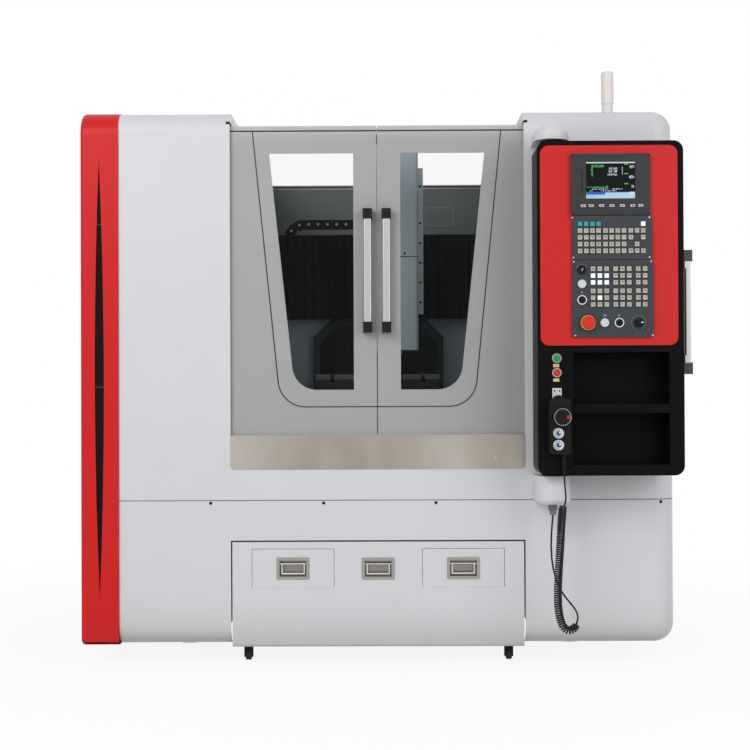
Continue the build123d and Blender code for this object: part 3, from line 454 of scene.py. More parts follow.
def towerFinish(spec):  # white base and stem under a pale red lens
    finish = plasticFinish("towerLens", (0.80, 0.79, 0.79), 0.3)
    lens = (finish.z > spec["lensFrom"]) * 1.0
    red = finish.mix(finish.noise(20.0, 2.0), (0.90, 0.80, 0.78, 1.0), (0.92, 0.84, 0.82, 1.0))
    finish.shaderSet("Base Color", finish.mix(lens, rgba(spec["stemColour"]), red))
    return finish


handleSpec = {"middle": 1.334, "bareHalf": 0.174, "capColour": (0.018, 0.018, 0.019), "capShine": 0.08}


def handleFinish(spec):  # anodised bar between black end caps
    finish = brushedFinish("handleAluminium", (0.44, 0.436, 0.428), (90.0, 90.0, 2.0), 0.36, 0.06)
    cap = (abs(finish.z - spec["middle"]) > spec["bareHalf"]) * 1.0
    finish.shaderSet("Metallic", 1 - cap)
    finish.shaderSet("Specular IOR Level", spec["capShine"])
    return painted(finish, [(cap, spec["capColour"])])


def glassFinish():
    finish = Finish("windowPane")
    smear = finish.noise(4.0, 4.0)
    finish.shaderSet("Base Color", finish.mix(smear, (0.02, 0.024, 0.025, 1.0), (0.03, 0.034, 0.035, 1.0)))
    finish.shaderSet("Roughness", 0.02 + smear * 0.03)
    finish.shaderSet("Alpha", 0.03 + smear * 0.02)
    return finish


def clothFinish():  # coated cloth of the bellows, a fine weave with a tone that varies at random
    finish = Finish("bellowsCloth")
    weave = finish.noise(900.0, 2.0, (1.0, 1.0, 0.3))
    mottle = finish.noise(40.0, 3.0)
    finish.shaderSet("Base Color", finish.mix(mottle, (0.006, 0.007, 0.0075, 1.0), (0.014, 0.015, 0.016, 1.0)))
    finish.shaderSet("Roughness", 0.6 + weave * 0.15)
    finish.shaderSet("Specular IOR Level", 0.15)
    finish.bump(weave, 0.0002, 0.5)
    return finish


sideHandleSpec = {"barLeft": 1007.5, "barRight": 1028.5, "barBottom": 1.014, "barTop": 1.346,
                  "bracketColour": (0.02, 0.02, 0.021)}


def pendantHandleFinish(spec):  # pale bar held by black brackets
    finish = brushedFinish("sideHandle", (0.42, 0.416, 0.407), (90.0, 90.0, 2.0), 0.38, 0.08)
    bracket = (finish.x < place(spec["barLeft"], 0, 0).x) + (finish.x > place(spec["barRight"], 0, 0).x)
    ends = (finish.z < spec["barBottom"]) + (finish.z > spec["barTop"])
    black = (bracket + ends).atMost(1.0)
    finish.shaderSet("Metallic", 1 - black)
    return painted(finish, [(black, spec["bracketColour"])])


tableSpec = {"groundFrom": 0.966, "topFrom": 0.9815, "bodyColour": (0.02, 0.021, 0.02),
             "edgeColour": (0.085, 0.085, 0.083), "topMetal": 0.35, "shine": 0.12}


def tableFinish(spec):  # ground top and dull machined edge over a dark cast body
    finish = castFinish("tableIron", (0.46, 0.46, 0.45), spec["topMetal"], 0.42)
    grind = finish.noise(300.0, 4.0, (1.0, 0.02, 1.0))
    ground = (finish.z > spec["groundFrom"]) * 1.0
    edge = finish.between(finish.z, spec["groundFrom"], spec["topFrom"])
    finish.shaderSet("Roughness", 0.38 + grind * 0.18 - ground * 0.08)
    finish.shaderSet("Metallic", (finish.z > spec["topFrom"]) * spec["topMetal"])
    finish.shaderSet("Specular IOR Level", spec["shine"])
    return painted(finish, [(1 - ground, spec["bodyColour"]), (edge, spec["edgeColour"])])


# finishes of the pendant, with the marks that are printed on it
dials = {"handwheel": (595, 840), "override": (848, 1144), "mode": (665, 1316), "selectorX": 583,
         "axisZ": 788, "stepZ": 750}


def dialParts(finish, middle):  # across, up, radius and angle from the middle of a dial, in millimetres
    across = (finish.x - place(middle[0], 0, 0).x) * 1000
    up = (finish.z - middle[1] / 1000) * 1000
    radius = (across * across + up * up) ** 0.5
    return across, up, radius, finish.node("ShaderNodeMath", {"operation": "ARCTAN2"}, [up, across])


def tickMask(finish, radius, angle, inner, outer, count, share):
    turns = angle * (count / (2 * math.pi)) + 0.5 * share
    return finish.between(radius, inner, outer) * ((turns % 1.0) < share)


def wheelFinish():  # black wheel with a graduated rim and a red grip
    finish = plasticFinish("wheelBlack", (0.012, 0.012, 0.0125), 0.42, shine=0.09)
    across, up, radius, angle = dialParts(finish, dials["handwheel"])
    face = (finish.y < place(0, -281, 0).y) * 1.0
    grip = ((across - 18.5) * (across - 18.5) + up * up) < 36.0
    ticks = tickMask(finish, radius, angle, 25.5, 28.0, 25, 0.5)
    return painted(finish, [(ticks * face, (0.55, 0.55, 0.54)), (grip * face, (0.55, 0.03, 0.035))])


def knobFinish():  # black knob with a white pointer
    finish = plasticFinish("overrideBlack", (0.010, 0.010, 0.010), 0.4, shine=0.09)
    across, up = dialParts(finish, dials["override"])[:2]
    pointer = finish.between(across, 5.0, 12.0) * (abs(up) < 1.8) * (finish.y < place(0, -251, 0).y)
    return painted(finish, [(pointer, (0.85, 0.85, 0.85))])


def selectorFinish(name, z):  # pale scale with dark ticks round a blue pointer knob
    finish = plasticFinish(name, (0.60, 0.63, 0.68), 0.3)
    across, up, radius, angle = dialParts(finish, (dials["selectorX"], z))
    ticks = tickMask(finish, radius, angle, 10.5, 14.0, 12, 0.45) * (across < 4.0)
    bow = finish.between(across, 0.5, 6.5) * finish.between(up, -1.0, 5.5)
    return painted(finish, [(ticks, (0.02, 0.025, 0.05)), ((radius < 8.0) * 1.0, (0.03, 0.07, 0.20)),
                            (bow, (0.72, 0.78, 0.86))])


buttonMarks = [(736, 1168, 2.0, 7.0), (741, 1168, 2.0, 7.0), (785, 1169, 7.0, 1.6), (785, 1165, 4.0, 1.6),
               (665, 1243, 2.6, 5.0)]


def operationFinish():  # grey plate with a scale round each knob and a small mark over each button
    finish = plasticFinish("operationGrey", (0.054, 0.061, 0.069), 0.5)
    up, radius, angle = dialParts(finish, dials["override"])[1:]
    scale = tickMask(finish, radius, angle, 22.0, 25.0, 18, 0.32) * (abs(up + 30.0) > 9.0)
    raised, reach, lean = dialParts(finish, dials["mode"])[1:]
    modes = tickMask(finish, reach, lean, 16.5, 18.5, 16, 0.4) * (raised > 6.0)
    marks = 0.0
    for x, z, wide, tall in buttonMarks:
        left, below = place(x - wide / 2, 0, 0).x, (z - tall / 2) / 1000
        marks = marks + finish.between(finish.x, left, left + wide / 1000) * finish.between(
            finish.z, below, below + tall / 1000)
    return painted(finish, [(scale, (0.30, 0.31, 0.32)), (modes, (0.34, 0.35, 0.36)),
                            (marks, (0.55, 0.56, 0.57))])


cardDoor = {"front": -232.6, "edgeFrom": 665.6, "edgeTo": 668.4, "bottom": 1.567, "top": 1.640, "lineHalf": 0.0008,
            "lineColour": (0.012, 0.013, 0.015)}


def displayFinish(spec):  # grey bezel with the outline of a card door on its left
    finish = plasticFinish("displayGrey", (0.044, 0.048, 0.053), 0.5)
    front = finish.y < place(0, spec["front"], 0).y
    left, right = place(spec["edgeFrom"], 0, 0).x, place(spec["edgeTo"], 0, 0).x
    upright = finish.between(finish.x, left, right) * finish.between(finish.z, spec["bottom"], spec["top"])
    lower, upper = [finish.between(finish.z, z - spec["lineHalf"], z + spec["lineHalf"])
                    for z in (spec["bottom"], spec["top"])]
    outline = (upright + (lower + upper) * (finish.x < right)).atMost(1.0)
    return painted(finish, [(outline * front, spec["lineColour"])])


housingSpec = {"leftOf": 640, "collarFrom": 1.7375, "collarColour": (0.045, 0.030, 0.022),
               "connectorBelow": 0.60, "connectorColour": (0.22, 0.22, 0.22)}


def housingFinish(spec):  # black coat, brown collar under the upper arm, grey connector under the lower one
    finish = paintFinish("blackCoat", (0.0045, 0.005, 0.0045), 0.36, cloud=0.2, shine=0.045)
    left = finish.x < place(spec["leftOf"], 0, 0).x
    return painted(finish, [(left * (finish.z > spec["collarFrom"]), spec["collarColour"]),
                            (left * (finish.z < spec["connectorBelow"]), spec["connectorColour"])])


seams = {"head": (1.4180, 1.4220, (0.06, 0.07, 0.075)), "base": (0.5536, 0.5564, (0.10, 0.10, 0.10))}


def seamLine(finish, seam):
    low, high, colour = seam
    return painted(finish, [(finish.between(finish.z, low, high), colour)])


def headFinish():  # blue-grey cover in two lengths
    finish = paintFinish("headCoat", (0.36, 0.43, 0.46), 0.42, cloud=0.05)
    return seamLine(finish, seams["head"])


def seamCoat():  # white enclosure with the dark seam between base and cabinets
    finish = paintFinish("seamCoat", (0.69, 0.70, 0.725), 0.4, lowTone=0.8)
    return seamLine(finish, seams["base"])


def sillFinish():  # satin sheet with broad pale patches painted in as reflections
    finish = brushedFinish("sillSteel", (0.294, 0.250, 0.203), (1.2, 60.0, 60.0), 0.34, 0.05)
    # broad pale patches are painted reflections on the sheet
    paintedReflections = finish.noise(3.2, 3.0, (1.0, 1.0, 0.4)) * 2.4 - 0.7
    return painted(finish, [(paintedReflections, (0.455, 0.425, 0.388))])


def dishFinish():  # pressed steel dish with painted shade in the hollow
    finish = brushedFinish("dishSteel", (0.35, 0.328, 0.302), (2.0, 60.0, 60.0), 0.3)
    # painted shade: the hollow of the dish is darkened
    hollowShade = (finish.y > place(0, 1.0, 0).y) * 0.45
    return painted(finish, [(hollowShade, (0.104, 0.094, 0.085))])


whiteCoat = paintFinish("whiteCoat", (0.69, 0.70, 0.725), 0.4, lowTone=0.8)
redCoat = paintFinish("redCoat", (0.64, 0.014, 0.015), 0.38, shine=0.2)
panelRed = paintFinish("panelRed", (0.60, 0.022, 0.021), 0.42, shine=0.2)
linerCoat = paintFinish("linerCoat", (0.25, 0.30, 0.325), 0.45, cloud=0.06)
headCoat = headFinish()
stripCoat = paintFinish("stripCoat", (0.62, 0.70, 0.71), 0.42, cloud=0.05)
portalBlack = paintFinish("portalBlack", (0.030, 0.037, 0.041), 0.5, cloud=0.1, shine=0.15)
castGrey = castFinish("castGrey", (0.16, 0.185, 0.195))
bailSteel = brushedFinish("bailSteel", (0.60, 0.60, 0.60), (2.0, 60.0, 60.0), 0.25, 0.08)
zincSteel = brushedFinish("zincSteel", (0.36, 0.36, 0.36), (6.0, 6.0, 6.0), 0.4, 0.1)
blackPlastic = plasticFinish("blackPlastic", (0.012, 0.012, 0.0125), 0.42, shine=0.09)
tyreRubber = plasticFinish("tyreRubber", (0.035, 0.035, 0.034), 0.7, 0.0002)
consoleGrey = plasticFinish("consoleGrey", (0.056, 0.062, 0.069), 0.5)
stopRed = plasticFinish("stopRed", (0.72, 0.035, 0.022), 0.3)
startGreen = plasticFinish("startGreen", (0.015, 0.34, 0.09), 0.3)

dressing = [
    (seamCoat(), ["base_skirt", "left_cabinet", "right_cabinet"]),
    (whiteCoat, ["pivot_arms", "chip_cart", "left_drawer", "right_drawer"]),
    (rearFinish(rearSpec), ["rear_panel"]), (towerFinish(towerSpec), ["tower_light"]),
    (doorFinish(doorSpec), ["left_door", "right_door"]),
    (redCoat, ["end_cover"]), (panelRed, ["pendant_panel"]), (slitFinish(slitSpec), ["end_cover_insert"]),
    (portalBlack, ["portal_frame"]), (sillFinish(), ["sill_strip"]),
    (dishFinish(), ["cart_handle_dish", "left_drawer_dish", "right_drawer_dish"]),
    (bailSteel, ["cart_handle_bail", "left_drawer_bail", "right_drawer_bail", "spindle"]),
    (handleFinish(handleSpec), ["left_handle", "right_handle"]),
    (pendantHandleFinish(sideHandleSpec), ["pendant_handle"]),
    (glassFinish(), ["left_window", "right_window"]), (castGrey, ["bed", "bridge"]), (stripCoat, ["x_saddle"]),
    (tableFinish(tableSpec), ["table"]), (linerCoat, ["chamber_liner"]), (headCoat, ["z_head"]),
    (zincSteel, ["door_tracks", "levelling_feet"]),
    (clothFinish(), ["left_bellows", "right_bellows", "table_bellows"]),
    (blackPlastic, ["drag_chain", "handwheel_unit"]),
    (knobFinish(), ["override_knob"]), (wheelFinish(), ["handwheel"]),
    (tyreRubber, ["left_caster_wheel", "right_caster_wheel", "rear_casters", "left_caster_fork",
                  "right_caster_fork"]),
    (housingFinish(housingSpec), ["pendant_housing"]), (displayFinish(cardDoor), ["display_unit"]),
    (consoleGrey, ["keyboard_panel"]), (operationFinish(), ["operation_panel"]),
    (selectorFinish("axisScale", dials["axisZ"]), ["axis_selector"]),
    (selectorFinish("stepScale", dials["stepZ"]), ["step_selector"]),
    (stopRed, ["estop_button", "red_button"]), (startGreen, ["green_button"]),
]
for finish, names in dressing:
    for name in names:
        nodes[name].data.materials.clear()
        nodes[name].data.materials.append(finish.material)
print("machine painted")


# plain mesh pieces, drawn in drawing millimetres
def meshPiece(name, points, faces, finish, body):
    mesh = bpy.data.meshes.new(name)
    mesh.from_pydata(points, [], faces)
    settle(name, mesh, finish, body)


def settle(name, mesh, finish, body):
    work = bmesh.new()
    work.from_mesh(mesh)
    bmesh.ops.remove_doubles(work, verts=work.verts, dist=1e-7)
    bmesh.ops.recalc_face_normals(work, faces=work.faces)
    work.to_mesh(mesh)
    work.free()
    mesh.materials.clear()
    mesh.materials.append(finish.material)
    piece = bpy.data.objects.new(name, mesh)
    bpy.context.collection.objects.link(piece)
    if body:
        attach(piece, body)
    return piece


def turnedFaces(steps, count):
    faces = []
    for step in range(steps):
        here, there = step * count, (step + 1) % steps * count
        faces += [(here + k, here + k + 1, there + k + 1, there + k) for k in range(count - 1)]
    return faces


def latheShape(profile, steps=24):  # profile of (radius, y) turned about Y, out of the front
    points = []
    for step in range(steps):
        angle = 2 * math.pi * step / steps
        points += [(radius / 1000 * math.cos(angle), y / 1000, radius / 1000 * math.sin(angle))
                   for radius, y in profile]
    return points, turnedFaces(steps, len(profile))


def plateShape(width, height, depth, edge=0.0, dish=0.0):  # soft-edged plate, its back on y = 0
    half, tall = width / 2000, height / 2000
    inset = edge / 1000
    points = []
    for y, shrink in ((0.0, 0.0), (-(depth - edge) / 1000, 0.0), (-depth / 1000, inset)):
        points += [(sx * (half - shrink), y, sz * (tall - shrink))
                   for sx, sz in ((-1, -1), (1, -1), (1, 1), (-1, 1))]
    points.append((0.0, -(depth - dish) / 1000, 0.0))
    faces = [(3, 2, 1, 0)]
    for ring in (0, 4):
        faces += [(ring + k, ring + (k + 1) % 4, ring + 4 + (k + 1) % 4, ring + 4 + k) for k in range(4)]
    faces += [(8 + k, 8 + (k + 1) % 4, 12) for k in range(4)]
    return points, faces


# one Geometry Nodes tree sets a shape on every point, with a seeded turn and width
def makeRepeatTree():
    tree = bpy.data.node_groups.new("repeatOnPoints", "GeometryNodeTree")
    sockets = {}
    for name, kind in (("Geometry", "NodeSocketGeometry"), ("Shape", "NodeSocketObject"),
                       ("Turn", "NodeSocketFloat"), ("Narrowest", "NodeSocketFloat"),
                       ("Seed", "NodeSocketInt"), ("Finish", "NodeSocketMaterial")):
        sockets[name] = tree.interface.new_socket(name, in_out="INPUT", socket_type=kind)
    tree.interface.new_socket("Geometry", in_out="OUTPUT", socket_type="NodeSocketGeometry")
    add = tree.nodes.new
    link = tree.links.new
    given = add("NodeGroupInput")
    shape = add("GeometryNodeObjectInfo")
    onPoints = add("GeometryNodeInstanceOnPoints")
    turn = add("FunctionNodeRandomValue")
    width = add("FunctionNodeRandomValue")
    turnAxes = add("ShaderNodeCombineXYZ")
    widthAxes = add("ShaderNodeCombineXYZ")
    realize = add("GeometryNodeRealizeInstances")
    paint = add("GeometryNodeSetMaterial")
    made = add("NodeGroupOutput")
    turn.data_type = width.data_type = "FLOAT"
    widthAxes.inputs["Y"].default_value = widthAxes.inputs["Z"].default_value = 1.0
    link(given.outputs["Geometry"], onPoints.inputs["Points"])
    link(given.outputs["Shape"], shape.inputs["Object"])
    link(shape.outputs["Geometry"], onPoints.inputs["Instance"])
    link(given.outputs["Turn"], turn.inputs[3])
    link(given.outputs["Seed"], turn.inputs["Seed"])
    link(given.outputs["Narrowest"], width.inputs[2])
    width.inputs[3].default_value = 1.0
    link(given.outputs["Seed"], width.inputs["Seed"])
    link(turn.outputs[1], turnAxes.inputs["Y"])
    link(width.outputs[1], widthAxes.inputs["X"])
    link(turnAxes.outputs[0], onPoints.inputs["Rotation"])
    link(widthAxes.outputs[0], onPoints.inputs["Scale"])
    link(onPoints.outputs[0], realize.inputs[0])
    link(realize.outputs[0], paint.inputs["Geometry"])
    link(given.outputs["Finish"], paint.inputs["Material"])
    link(paint.outputs[0], made.inputs[0])
    return tree, sockets


repeatTree, repeatSockets = makeRepeatTree()


def repeatPiece(name, shape, places, finish, body, turn=0.0, narrowest=1.0, seed=7):
    shapeMesh = bpy.data.meshes.new(name + "Shape")
    shapeMesh.from_pydata(shape[0], [], shape[1])
    sample = settle(name + "Shape", shapeMesh, finish, None)
    pointMesh = bpy.data.meshes.new(name + "Points")
    pointMesh.from_pydata([place(*where) for where in places], [], [])
    carrier = bpy.data.objects.new(name + "Points", pointMesh)
    bpy.context.collection.objects.link(carrier)
    modifier = carrier.modifiers.new("repeat", "NODES")
    modifier.node_group = repeatTree
    values = {"Shape": sample, "Turn": turn, "Narrowest": narrowest, "Seed": seed, "Finish": finish.material}
    for key, value in values.items():
        modifier[repeatSockets[key].identifier] = value
    bpy.context.view_layer.update()
    mesh = bpy.data.meshes.new_from_object(carrier.evaluated_get(bpy.context.evaluated_depsgraph_get()))
    carrier.modifiers.clear()
    for helper in (carrier, sample):
        bpy.data.objects.remove(helper)
    mesh.name = name
    piece = bpy.data.objects.new(name, mesh)
    bpy.context.collection.objects.link(piece)
    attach(piece, body)


# screws on the seam, the sill and the console plates, each turned its own way up to half a turn
screwTurn = 3.1
screwSpec = {
    "seam": [(-568, 0, 546), (-184, 0, 546), (197, 0, 546), (959, 3, 546)],
    "sill": [(-391, -2, 697), (401, -2, 697)],
    "plates": [(634.5, -229, 1485), (884, -229, 1485), (638, -229, 1356), (884, -229, 1356),
               (639, -229, 1342), (889, -229, 1342), (643, -229, 1103), (893, -229, 1103)],
    "display": [(635.5, -233, 1687), (882, -233, 1687), (638, -233, 1498), (882, -233, 1498)],
}
blackScrew = latheShape([(0, -1.2), (2.2, -1.2), (2.4, -2.6), (4.4, -2.4), (5.2, -1.2), (5.2, 0.4)], 20)
smallScrew = latheShape([(0, -0.5), (1.2, -0.5), (1.3, -1.3), (2.6, -1.2), (3.1, -0.4), (3.1, 0.3)], 18)
steelScrew = latheShape([(0, -0.9), (1.6, -0.9), (1.8, -2.2), (3.6, -1.9), (4.4, -0.8), (4.4, 0.3)], 20)
screwBright = brushedFinish("screwBright", (0.50, 0.50, 0.50), (20.0, 20.0, 20.0), 0.3, 0.1)
repeatPiece("seamScrews", blackScrew, screwSpec["seam"], blackPlastic, "machine", screwTurn)
repeatPiece("sillScrews", steelScrew, screwSpec["sill"], screwBright, "machine", screwTurn)
repeatPiece("plateScrews", smallScrew, screwSpec["plates"], screwBright, "pendant", screwTurn)
repeatPiece("displayScrews", smallScrew, screwSpec["display"], blackPlastic, "pendant",
            screwTurn)
print("screws set")

# key caps on the keyboard and the operation panel
keySpec = {
    "front": -232, "first": 659.4, "pitch": 20.0, "groups": (4, 4, 3), "gap": 2.2,
    "firstRow": 1376.6, "rowPitch": 21.9, "rows": 4, "blanks": ((1, 8), (1, 10), (2, 9)),
    "operationFirst": 700.7, "operationPitch": 22.0, "operationGroups": (3, 3, 2), "operationGap": 7.1,
    "operationRow": 1203, "operationRowGap": 5.4, "operationRows": (3, 3),
    "lit": ((3, 0), (3, 1), (3, 2), (4, 0), (4, 1), (4, 2), (1, 1)), "turquoise": 4,
    "softPlaces": (670, 696, 729.5, 763, 796.5, 830, 856), "softRow": 1523, "softFront": -234.5,
    "cap": (14.6, 14.6, 2.2, 1.2, 0.5), "softCap": (16.2, 8.4, 1.6, 0.8),
}


def keyLine(first, pitch, gap, groups):
    found = []
    for group, count in enumerate(groups):
        start = len(found)
        found += [first + (start + index) * pitch + group * gap for index in range(count)]
    return found


def makeKeys(spec):
    beige = plasticFinish("keyBeige", (0.52, 0.49, 0.44), 0.5)
    turquoise = plasticFinish("keyTurquoise", (0.04, 0.36, 0.40), 0.45)
    litWhite = plasticFinish("keyLit", (0.80, 0.80, 0.90), 0.4)
    glow = litWhite.mix(litWhite.noise(60.0), (0.9, 0.9, 1.0, 1.0), (1.0, 1.0, 1.0, 1.0))
    litWhite.shaderSet("Emission Color", glow)
    litWhite.shaderSet("Emission Strength", 0.25)
    markInk = plasticFinish("keyInk", (0.05, 0.05, 0.05), 0.6)
    columns = keyLine(spec["first"], spec["pitch"], spec["gap"], spec["groups"])
    front = spec["front"]
    plain = []
    for row in range(spec["rows"]):
        z = spec["firstRow"] + row * spec["rowPitch"]
        plain += [(x, front, z) for column, x in enumerate(columns) if (row, column) not in spec["blanks"]]
    top = spec["firstRow"] + spec["rows"] * spec["rowPitch"]
    lit = [(columns[-1], front, top)]
    rows = keyLine(spec["operationRow"], spec["operationPitch"], spec["operationRowGap"],
                   spec["operationRows"])
    across = keyLine(spec["operationFirst"], spec["operationPitch"], spec["operationGap"],
                     spec["operationGroups"])
    for row, z in enumerate(rows):
        for column, x in enumerate(across):
            (lit if (row, column) in spec["lit"] else plain).append((x, front, z))
    cap = plateShape(*spec["cap"])
    repeatPiece("plainKeys", cap, plain, beige, "pendant")
    first = [(x, front, top) for x in columns[:spec["turquoise"]]]
    repeatPiece("turquoiseKeys", cap, first, turquoise, "pendant")
    repeatPiece("litKeys", cap, lit, litWhite, "pendant")
    soft = [(x, spec["softFront"], spec["softRow"]) for x in spec["softPlaces"]]
    softGrey = plasticFinish("softGrey", (0.55, 0.55, 0.54), 0.45)
    repeatPiece("softKeys", plateShape(*spec["softCap"]), soft, softGrey, "pendant")
    softMarks = [(x, y - 1.3, z) for x, y, z in soft]
    repeatPiece("softMarks", plateShape(9.0, 2.6, 0.5), softMarks, markInk, "pendant",
                narrowest=0.4, seed=5)
    marks = [(x, y - 1.9, z + 1.5) for x, y, z in plain]
    repeatPiece("keyMarks", plateShape(7.5, 2.2, 0.6), marks, markInk, "pendant",
                narrowest=0.35, seed=11)
    second = [(x - 0.6, y - 1.9, z - 2.2) for x, y, z in plain[::2]]
    repeatPiece("keyMarksLow", plateShape(6.0, 1.4, 0.6), second, markInk, "pendant",
                narrowest=0.3, seed=23)


makeKeys(keySpec)
print("keys set")


# turned shapes with their back on y = 0 and their face towards the operator
def capShape(radius, depth, rounding=1.5):
    soft = rounding * 0.3
    return latheShape([(0, -depth), (radius - rounding, -depth), (radius - soft, soft - depth),
                       (radius, rounding - depth), (radius, 0.3)])


def ringShape(inner, outer, depth, rounding=0.6):
    return latheShape([(inner, 0.3), (inner, rounding - depth), (inner + rounding, -depth),
                       (outer - rounding, -depth), (outer, rounding - depth), (outer, 0.3)], 32)


# knobs, buttons, tags and the steel hanger on the pendant
controlSpec = {
    "plate": -229, "housing": -215, "stop": (684, 1144), "whiteCaps": [(738, 1144), (665, 1270)],
    "ringed": [(785, 1144), (665, 1218)], "mode": (665, 1316), "bezels": [(584, 1030), (584, 983)],
    "tags": [(582, 1006), (582, 959)], "hanger": (584, 913), "clip": (587, 889),
    "pointerOut": 11.6, "hangerThick": 4.6, "hangerAside": 8, "hangerAbove": 11, "clipOut": 14,
}


def onPlane(points, y):
    return [(x, y, z) for x, z in points]


def makeControls(spec):
    plate, housing = spec["plate"], spec["housing"]
    stopYellow = plasticFinish("stopYellow", (0.72, 0.50, 0.03), 0.35)
    capWhite = plasticFinish("capWhite", (0.66, 0.69, 0.66), 0.35)
    ringWhite = plasticFinish("ringWhite", (0.78, 0.79, 0.80), 0.3)
    tagYellow = plasticFinish("tagYellow", (0.66, 0.53, 0.27), 0.5)
    steel = brushedFinish("hangerSteel", (0.50, 0.515, 0.522), (4.0, 60.0, 60.0), 0.35, 0.05)
    repeatPiece("stopCollar", ringShape(14.0, 25.2, 6.6, 1.6), onPlane([spec["stop"]], plate), stopYellow, "pendant")
    repeatPiece("whiteCaps", capShape(13.8, 7.4), onPlane(spec["whiteCaps"], plate), capWhite, "pendant")
    repeatPiece("whiteRings", ringShape(12.2, 15.4, 7.2), onPlane(spec["ringed"], plate), ringWhite, "pendant")
    repeatPiece("blackCaps", capShape(12.3, 6.9), onPlane(spec["ringed"], plate), blackPlastic, "pendant")
    repeatPiece("modeKnob", capShape(13.6, 12.0, 2.5), onPlane([spec["mode"]], plate), blackPlastic, "pendant")
    repeatPiece("modePointer", plateShape(2.4, 9.0, 1.0, 0.4), onPlane([spec["mode"]], plate - spec["pointerOut"]),
                ringWhite, "pendant", 0.6)
    repeatPiece("buttonBezels", ringShape(11.4, 15.3, 6.0, 1.0), onPlane(spec["bezels"], housing), screwBright,
                "pendant")
    repeatPiece("blankTags", plateShape(20.0, 10.5, 1.0, 0.4), onPlane(spec["tags"], housing), tagYellow, "pendant")
    x, z = spec["hanger"]
    thick, aside, above = spec["hangerThick"], spec["hangerAside"], spec["hangerAbove"]
    repeatPiece("hangerPlate", plateShape(30.6, 40.6, thick, 0.8), [(x, housing, z)], steel, "pendant")
    pair = [(x - aside, housing - thick, z + above), (x + aside, housing - thick, z + above)]
    repeatPiece("hangerScrews", smallScrew, pair, blackPlastic, "pendant", screwTurn)
    repeatPiece("hangerClip", capShape(21.0, 16.0, 3.0), onPlane([spec["clip"]], housing - spec["clipOut"]),
                blackPlastic, "pendant")


makeControls(controlSpec)
print("controls set")

# ribbed sleeve where the cord leaves the handwheel unit
sleeveSpec = {"x": 604, "y": -237, "top": 720, "bottom": 657, "topRadius": 9.0, "endRadius": 6.6, "ribs": 9,
              "groove": 1.6}


def sleeveProfile(spec):
    pitch = (spec["top"] - spec["bottom"]) / spec["ribs"]
    profile = []
    for rib in range(spec["ribs"]):
        radius = spec["topRadius"] + (spec["endRadius"] - spec["topRadius"]) * rib / (spec["ribs"] - 1)
        high = spec["top"] - rib * pitch
        profile += [(radius - spec["groove"], high), (radius, high - pitch * 0.2), (radius, high - pitch * 0.7),
                    (radius - spec["groove"], high - pitch * 0.9)]
    return profile


def makeSleeve(spec, steps=20):
    profile = sleeveProfile(spec)
    points = []
    for step in range(steps):
        angle = 2 * math.pi * step / steps
        points += [place(spec["x"] + radius * math.cos(angle), spec["y"] + radius * math.sin(angle), z)
                   for radius, z in profile]
    count = len(profile)
    faces = turnedFaces(steps, count)
    faces += [tuple(step * count + end for step in range(steps)) for end in (0, count - 1)]
    meshPiece("cordSleeve", points, faces, blackPlastic, "pendant")


makeSleeve(sleeveSpec)
print("sleeve set")

# picture on the screen: plain bars and broken blocks, each left, right, low and high in millimetres
screenSpec = {
    "left": 680, "bottom": 1546, "width": 159, "height": 120, "floor": -228,
    "white": (0.72, 0.78, 0.86), "green": (0.10, 0.55, 0.14), "blue": (0.02, 0.16, 0.62),
    "pale": (0.50, 0.72, 0.86),
    "bars": [(0, 159, 115, 119, "white"), (0, 159, 13, 22, "blue"), (62, 159, 13, 20, "pale"),
             (0, 159, 1, 13, "pale"), (140, 159, 13, 22, "white"), (117, 118.4, 78, 104, "white"),
             (124, 137, 79.5, 82.5, "green"), (124, 137, 47, 50, "green"), (124, 136, 110, 114, "green")],
    "blocks": [(16, 58, 102, 110, "green"), (17, 23, 73, 101, "green"), (74, 84, 94, 101, "white"),
               (86, 101, 94, 101, "white"), (74, 84, 85, 92, "white"), (86, 101, 85, 92, "white"),
               (70, 84, 75, 82, "white"), (86, 101, 75, 82, "white"),
               (140, 156, 99, 108, "white"), (140, 156, 66, 75, "white"), (147, 156, 36, 44, "white"),
               (4, 72, 36, 39, "green"), (20, 72, 30, 33, "white"), (84, 118, 30, 33, "white"),
               (10, 22, 24, 28, "green"), (46, 98, 24, 27, "white"), (64, 72, 34, 42, "green"),
               (4, 34, 6, 9, "green")],
}


def screenFinish(spec):
    finish = Finish("screenPicture")
    across = (finish.x - place(spec["left"], 0, 0).x) * 1000
    up = (finish.z - spec["bottom"] / 1000) * 1000
    broken = finish.noise(420.0, 1.0) > 0.49
    tone = finish.mix(finish.noise(9.0), (0.003, 0.004, 0.005, 1.0), (0.007, 0.008, 0.009, 1.0))
    for left, right, low, high, ink in spec["bars"] + spec["blocks"]:
        mask = finish.between(across, left, right) * finish.between(up, low, high)
        if (left, right, low, high, ink) in spec["blocks"]:
            mask = mask * broken
        tone = finish.mix(mask, tone, rgba(spec[ink]))
    finish.shaderSet("Base Color", (0.004, 0.004, 0.005, 1.0))
    finish.shaderSet("Specular IOR Level", 0.06)
    finish.shaderSet("Emission Color", tone)
    finish.shaderSet("Emission Strength", 0.9)
    finish.shaderSet("Roughness", 0.25)
    return finish


def makeScreen(spec):
    middle = (spec["left"] + spec["width"] / 2, spec["floor"], spec["bottom"] + spec["height"] / 2)
    pane = plateShape(spec["width"] - 1.0, spec["height"] - 1.0, 1.4, 0.5)
    repeatPiece("screenPane", pane, [middle], screenFinish(spec), "pendant")


makeScreen(screenSpec)
print("screen lit")

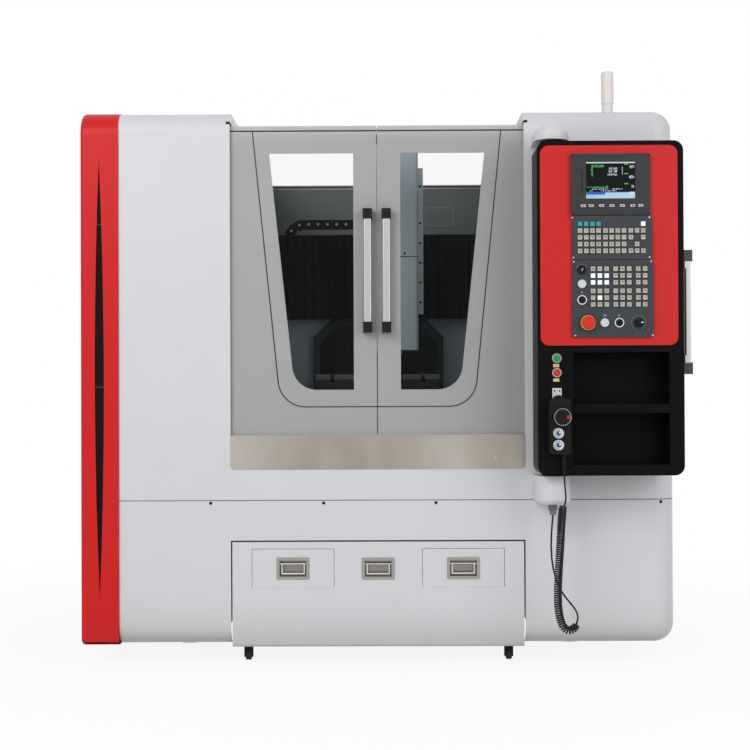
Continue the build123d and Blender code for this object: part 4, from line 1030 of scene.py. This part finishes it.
# small parts in the chamber and on the doors
chamberSpec = {
    "chainFront": 704, "chainBend": -286, "chainLink": 36, "chainHigh": 1571, "chainRadius": 62, "chainLinks": 6,
    "bendAngles": (1.88, 2.51), "stripX": 161, "stripFront": 588,
    "stripScrews": [1260, 1335, 1410, 1485, 1560, 1700], "seamScrew": (99, 430, 1432),
    "holes": [(352, 1497.5, 1662), (352, 1497.5, 1646)], "capFront": -32, "capX": 32, "capZ": (1142, 1526),
}


def makeChamberParts(spec):
    dotYellow = plasticFinish("dotYellow", (0.55, 0.50, 0.12), 0.45)
    high = spec["chainHigh"]
    dots = [(spec["chainBend"] + (index + 0.5) * spec["chainLink"], spec["chainFront"], high)
            for index in range(spec["chainLinks"])]
    for angle in spec["bendAngles"]:
        dots.append((spec["chainBend"] + spec["chainRadius"] * math.cos(angle), spec["chainFront"],
                     high - spec["chainRadius"] + spec["chainRadius"] * math.sin(angle)))
    repeatPiece("chainDots", capShape(5.0, 1.2, 0.5), dots, dotYellow, "x_saddle")
    strip = [(spec["stripX"], spec["stripFront"], z) for z in spec["stripScrews"]]
    repeatPiece("stripScrews", steelScrew, strip, blackPlastic, "x_saddle", screwTurn)
    repeatPiece("seamScrew", steelScrew, [spec["seamScrew"]], blackPlastic, "z_head",
                screwTurn)
    repeatPiece("panelHoles", capShape(7.0, 1.0, 0.4), spec["holes"], blackPlastic, "machine")
    socket = latheShape([(0, 2.0), (4.0, 2.0), (4.4, -0.6), (6.2, -0.6), (6.6, 0.3)])
    for door, side in (("left_door", -1), ("right_door", 1)):
        caps = [(side * spec["capX"], spec["capFront"], z) for z in spec["capZ"]]
        repeatPiece(door.replace("_d", "D") + "CapScrews", socket, caps, blackPlastic, door)


makeChamberParts(chamberSpec)
print("chamber parts set")

# bellows and drag chain are copied as plain meshes in place of their parts; the bodies, ends and slot names listed
# here are not used
foldSpec = {
    "leftBellowsFold": ("left_bellows", "x_saddle", (-554, 604, 1400), (-16, 604, 1400), "bellows_cloth"),
    "rightBellowsFold": ("right_bellows", "x_saddle", (545, 604, 1400), (95, 604, 1400), "bellows_cloth"),
    "tableBellowsFold": ("table_bellows", "table", (0, 1245, 900), (0, 775, 900), "bellows_cloth"),
    "chainFold": ("drag_chain", "x_saddle", (0, 704, 1500), (0, 704, 1560), "black_plastic"),
}


def makeFold(name, node, body, fixedEnd, movingEnd, slotName):
    mesh = nodes[node].data.copy()
    mesh.transform(nodes[node].matrix_world)
    piece = bpy.data.objects.new(name, mesh)
    bpy.context.collection.objects.link(piece)
    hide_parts(node)
    tuple(place(*fixedEnd))
    tuple(place(*movingEnd))
    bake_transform(piece)


for name, spec in foldSpec.items():
    makeFold(name, *spec)
